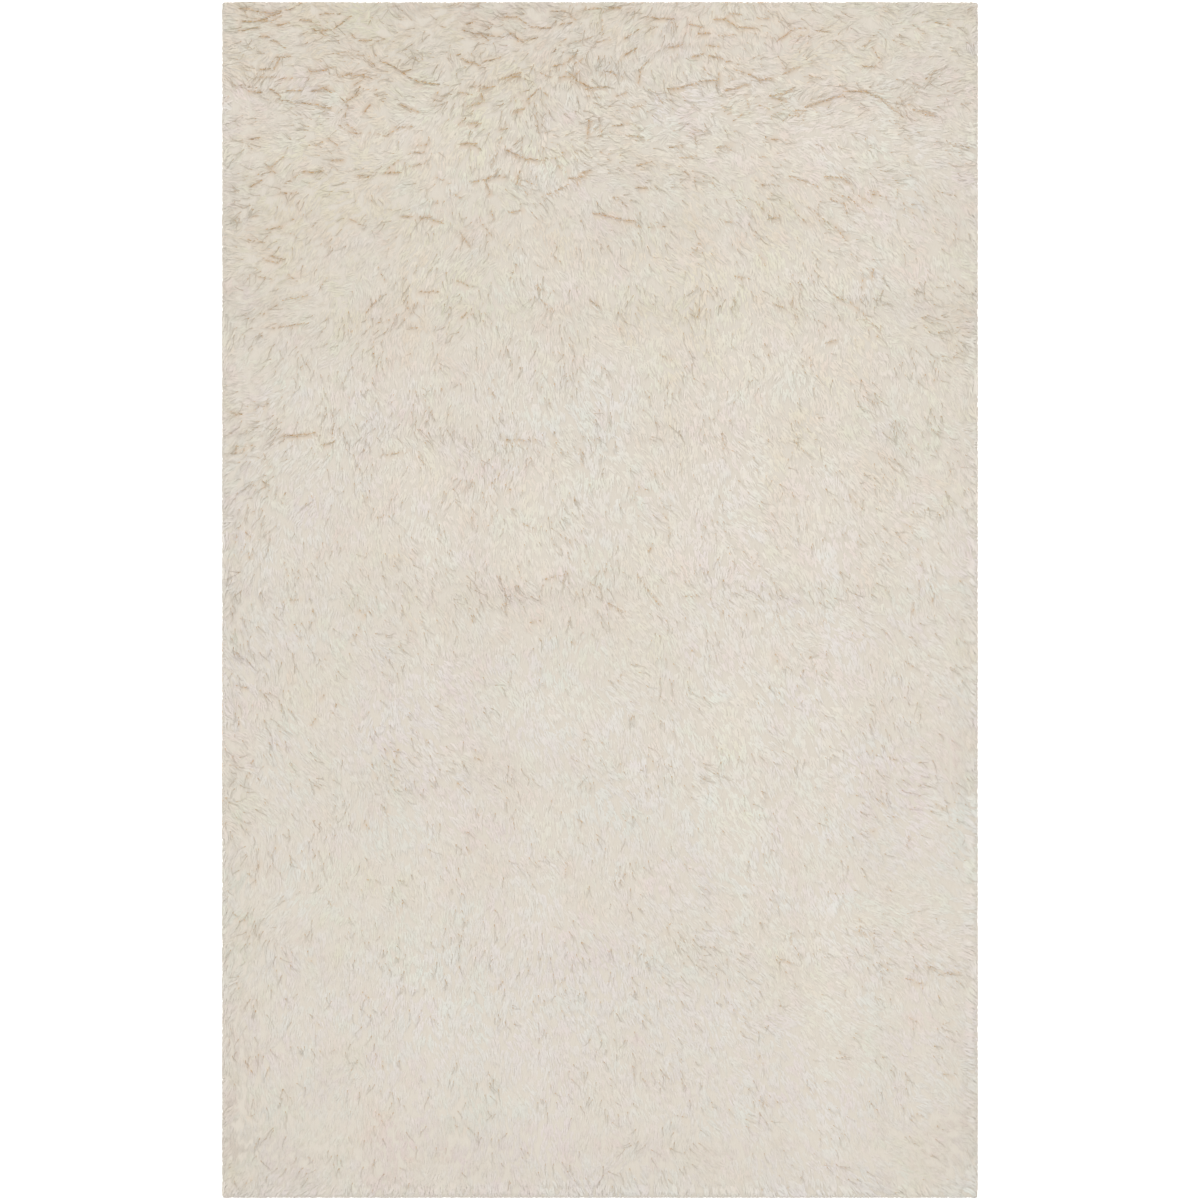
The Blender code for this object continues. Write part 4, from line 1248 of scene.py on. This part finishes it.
# %% [markdown]
# ## The dense wool below
# Between the strands one looks down into dense wool. A closed lumpy slab just under the strands
# stands for it and keeps the light from falling through. It lies deeper where the pile is rough.
# It is darker and yellower than the strands: partly the deep wool's own colour, partly painted
# shade. Along the partings it sinks a little and turns tan, partly like the roots there and partly
# as painted shade.

# %% Form of the undercoat
UNDER_STEP, UNDER_IN = 0.011, 0.0018
UNDER_DEPTH = (0.016, 0.032)  # of the pile's height, that it lies below the top
UNDER_DIP = 0.005  # of that height, that it sinks further at an open parting
DIP_REACH = 0.006
RIM_SINK, RIM_WIDTH = 0.0015, 0.03  # it sinks at the outline too, from this far inside
CLOTH_TOP, LEAST_COAT = 0.0026, 0.001


def opening_at(x, y):
    """How far the pile has opened over a point, from 0 to 1."""
    opening = np.zeros(np.shape(x))
    for parting in all_partings:
        along, across = at_parting(parting, x, y)
        past_end = np.maximum(np.abs(along) - parting.half_length, 0)
        near = np.exp(-((np.hypot(across, past_end) / DIP_REACH) ** 2))
        opening = np.maximum(opening, parting.open * near)
    return opening


def under_top(x, y, opening):
    """How high the undercoat stands over a point."""
    depth = by_roughness(UNDER_DEPTH, roughness_at(x, y)) + UNDER_DIP * opening
    sink = RIM_SINK * (1 - np.clip(inside_by(x, y) / RIM_WIDTH, 0, 1))
    return np.maximum(pile_top(x, y) - depth * PILE_HEIGHT - sink, CLOTH_TOP + LEAST_COAT)


print(f"undercoat {float(under_top(0, 0, 0)):.4f} m high at the rug's middle")

# %% Undercoat as a closed slab
def undercoat_mesh():
    """A grid for the top, a wall down from its rim, and one large face below."""
    xs, ys = evenly(HALF_WIDTH, UNDER_IN, UNDER_STEP), evenly(HALF_LENGTH, UNDER_IN, UNDER_STEP)
    x, y = np.meshgrid(xs, ys, indexing="ij")
    opening = opening_at(x, y)
    top = np.stack([x, y, under_top(x, y, opening)], axis=-1).reshape(-1, 3)
    number = np.arange(x.size).reshape(x.shape)
    quads = np.stack([number[:-1, :-1], number[1:, :-1], number[1:, 1:], number[:-1, 1:]], axis=-1)
    faces = quads.reshape(-1, 4).tolist()
    ring = np.concatenate([number[:, 0], number[-1, 1:], number[-2::-1, -1], number[0, -2:0:-1]])
    low = top[ring].copy()
    low[:, 2] = CLOTH_TOP
    for k in range(len(ring)):
        after = (k + 1) % len(ring)
        faces.append([int(ring[after]), int(ring[k]), x.size + k, x.size + after])
    faces.append(list(range(x.size + len(ring) - 1, x.size - 1, -1)))
    mesh = bpy.data.meshes.new("undercoat")
    mesh.from_pydata(np.concatenate([top, low]).tolist(), [], faces)
    mesh.shade_smooth()
    add_values(mesh, "opening", np.concatenate([opening.ravel(), np.zeros(len(ring))]))
    return mesh


undercoat = bpy.data.objects.new("undercoat", undercoat_mesh())
print(f"an undercoat of {len(undercoat.data.vertices)} points")

# %% Undercoat material
# darker than the strands' wool: partly the deep wool's own colour, partly painted shade; tan at the
# partings the same way
DEEP_DARK, DEEP_LIGHT = (0.60, 0.545, 0.47, 1), (0.64, 0.60, 0.535, 1)
DEEP_TAN_AND_SHADE = (0.60, 0.49, 0.38, 1)
DEEP_SCALE = (260, 60, 60)  # fibres fine across the rug, long down it


def deep_wool_material():
    deep, shader = new_material("deep_wool", 0.95)
    place = new_node(deep, "ShaderNodeTexCoord").outputs["Object"]
    stretch = new_node(deep, "ShaderNodeMapping", {"Vector": place, "Scale": DEEP_SCALE})
    fibres = noise(deep, stretch.outputs["Vector"], detail=3.0)
    colour = mixed(deep, fibres, DEEP_DARK, DEEP_LIGHT)
    colour = mixed(deep, attribute(deep, "opening"), colour, DEEP_TAN_AND_SHADE)
    finish_surface(deep, shader, colour, fibres, distance=0.002)
    return deep


undercoat.data.materials.append(deep_wool_material())
dress(undercoat, "undercoat")

# %% [markdown]
# ## The ground cloth
# The tufts are rooted in a plain woven cotton cloth, which shows only from below. It is a thin
# closed sheet. Its threads could be modelled one by one, but where nobody looks a pattern is
# enough: two crossing waves in the material, one for the warp threads, which run the rug's
# length, and one for the weft.

# %% Ground cloth
CLOTH_IN = 0.012
CLOTH_BOTTOM, CLOTH_THICK = 0.0001, 0.0024
THREAD = 0.0032  # from one thread of the weave to the next
WAVE_LENGTH = 0.314  # of the wave texture at a scale of 1
THREAD_WOBBLE = 0.4
SHADED_COTTON, COTTON = (0.42, 0.36, 0.27, 1), (0.66, 0.60, 0.49, 1)
BOX_FACES = [(3, 2, 1, 0), (4, 5, 6, 7), (0, 1, 5, 4), (1, 2, 6, 5), (2, 3, 7, 6), (3, 0, 4, 7)]


def cloth_material():
    cloth, shader = new_material("ground_cloth", 0.9)
    place = new_node(cloth, "ShaderNodeTexCoord").outputs["Object"]
    inputs = {"Vector": place, "Scale": WAVE_LENGTH / THREAD, "Distortion": THREAD_WOBBLE}
    waves = []
    for direction in ("X", "Y"):
        wave = new_node(cloth, "ShaderNodeTexWave", inputs, wave_type="BANDS", bands_direction=direction)
        waves.append(wave.outputs["Fac"])
    weave = maths(cloth, "MULTIPLY", waves[0], waves[1])
    finish_surface(cloth, shader, mixed(cloth, weave, SHADED_COTTON, COTTON), weave, distance=0.001)
    return cloth


cloth_x, cloth_y = HALF_WIDTH - CLOTH_IN, HALF_LENGTH - CLOTH_IN
outline = [(-cloth_x, -cloth_y), (cloth_x, -cloth_y), (cloth_x, cloth_y), (-cloth_x, cloth_y)]
heights = (CLOTH_BOTTOM, CLOTH_BOTTOM + CLOTH_THICK)
cloth_mesh = bpy.data.meshes.new("ground_cloth")
cloth_mesh.from_pydata([(x, y, z) for z in heights for x, y in outline], [], BOX_FACES)
cloth_mesh.materials.append(cloth_material())
ground_cloth = bpy.data.objects.new("ground_cloth", cloth_mesh)
dress(ground_cloth, "ground_cloth")
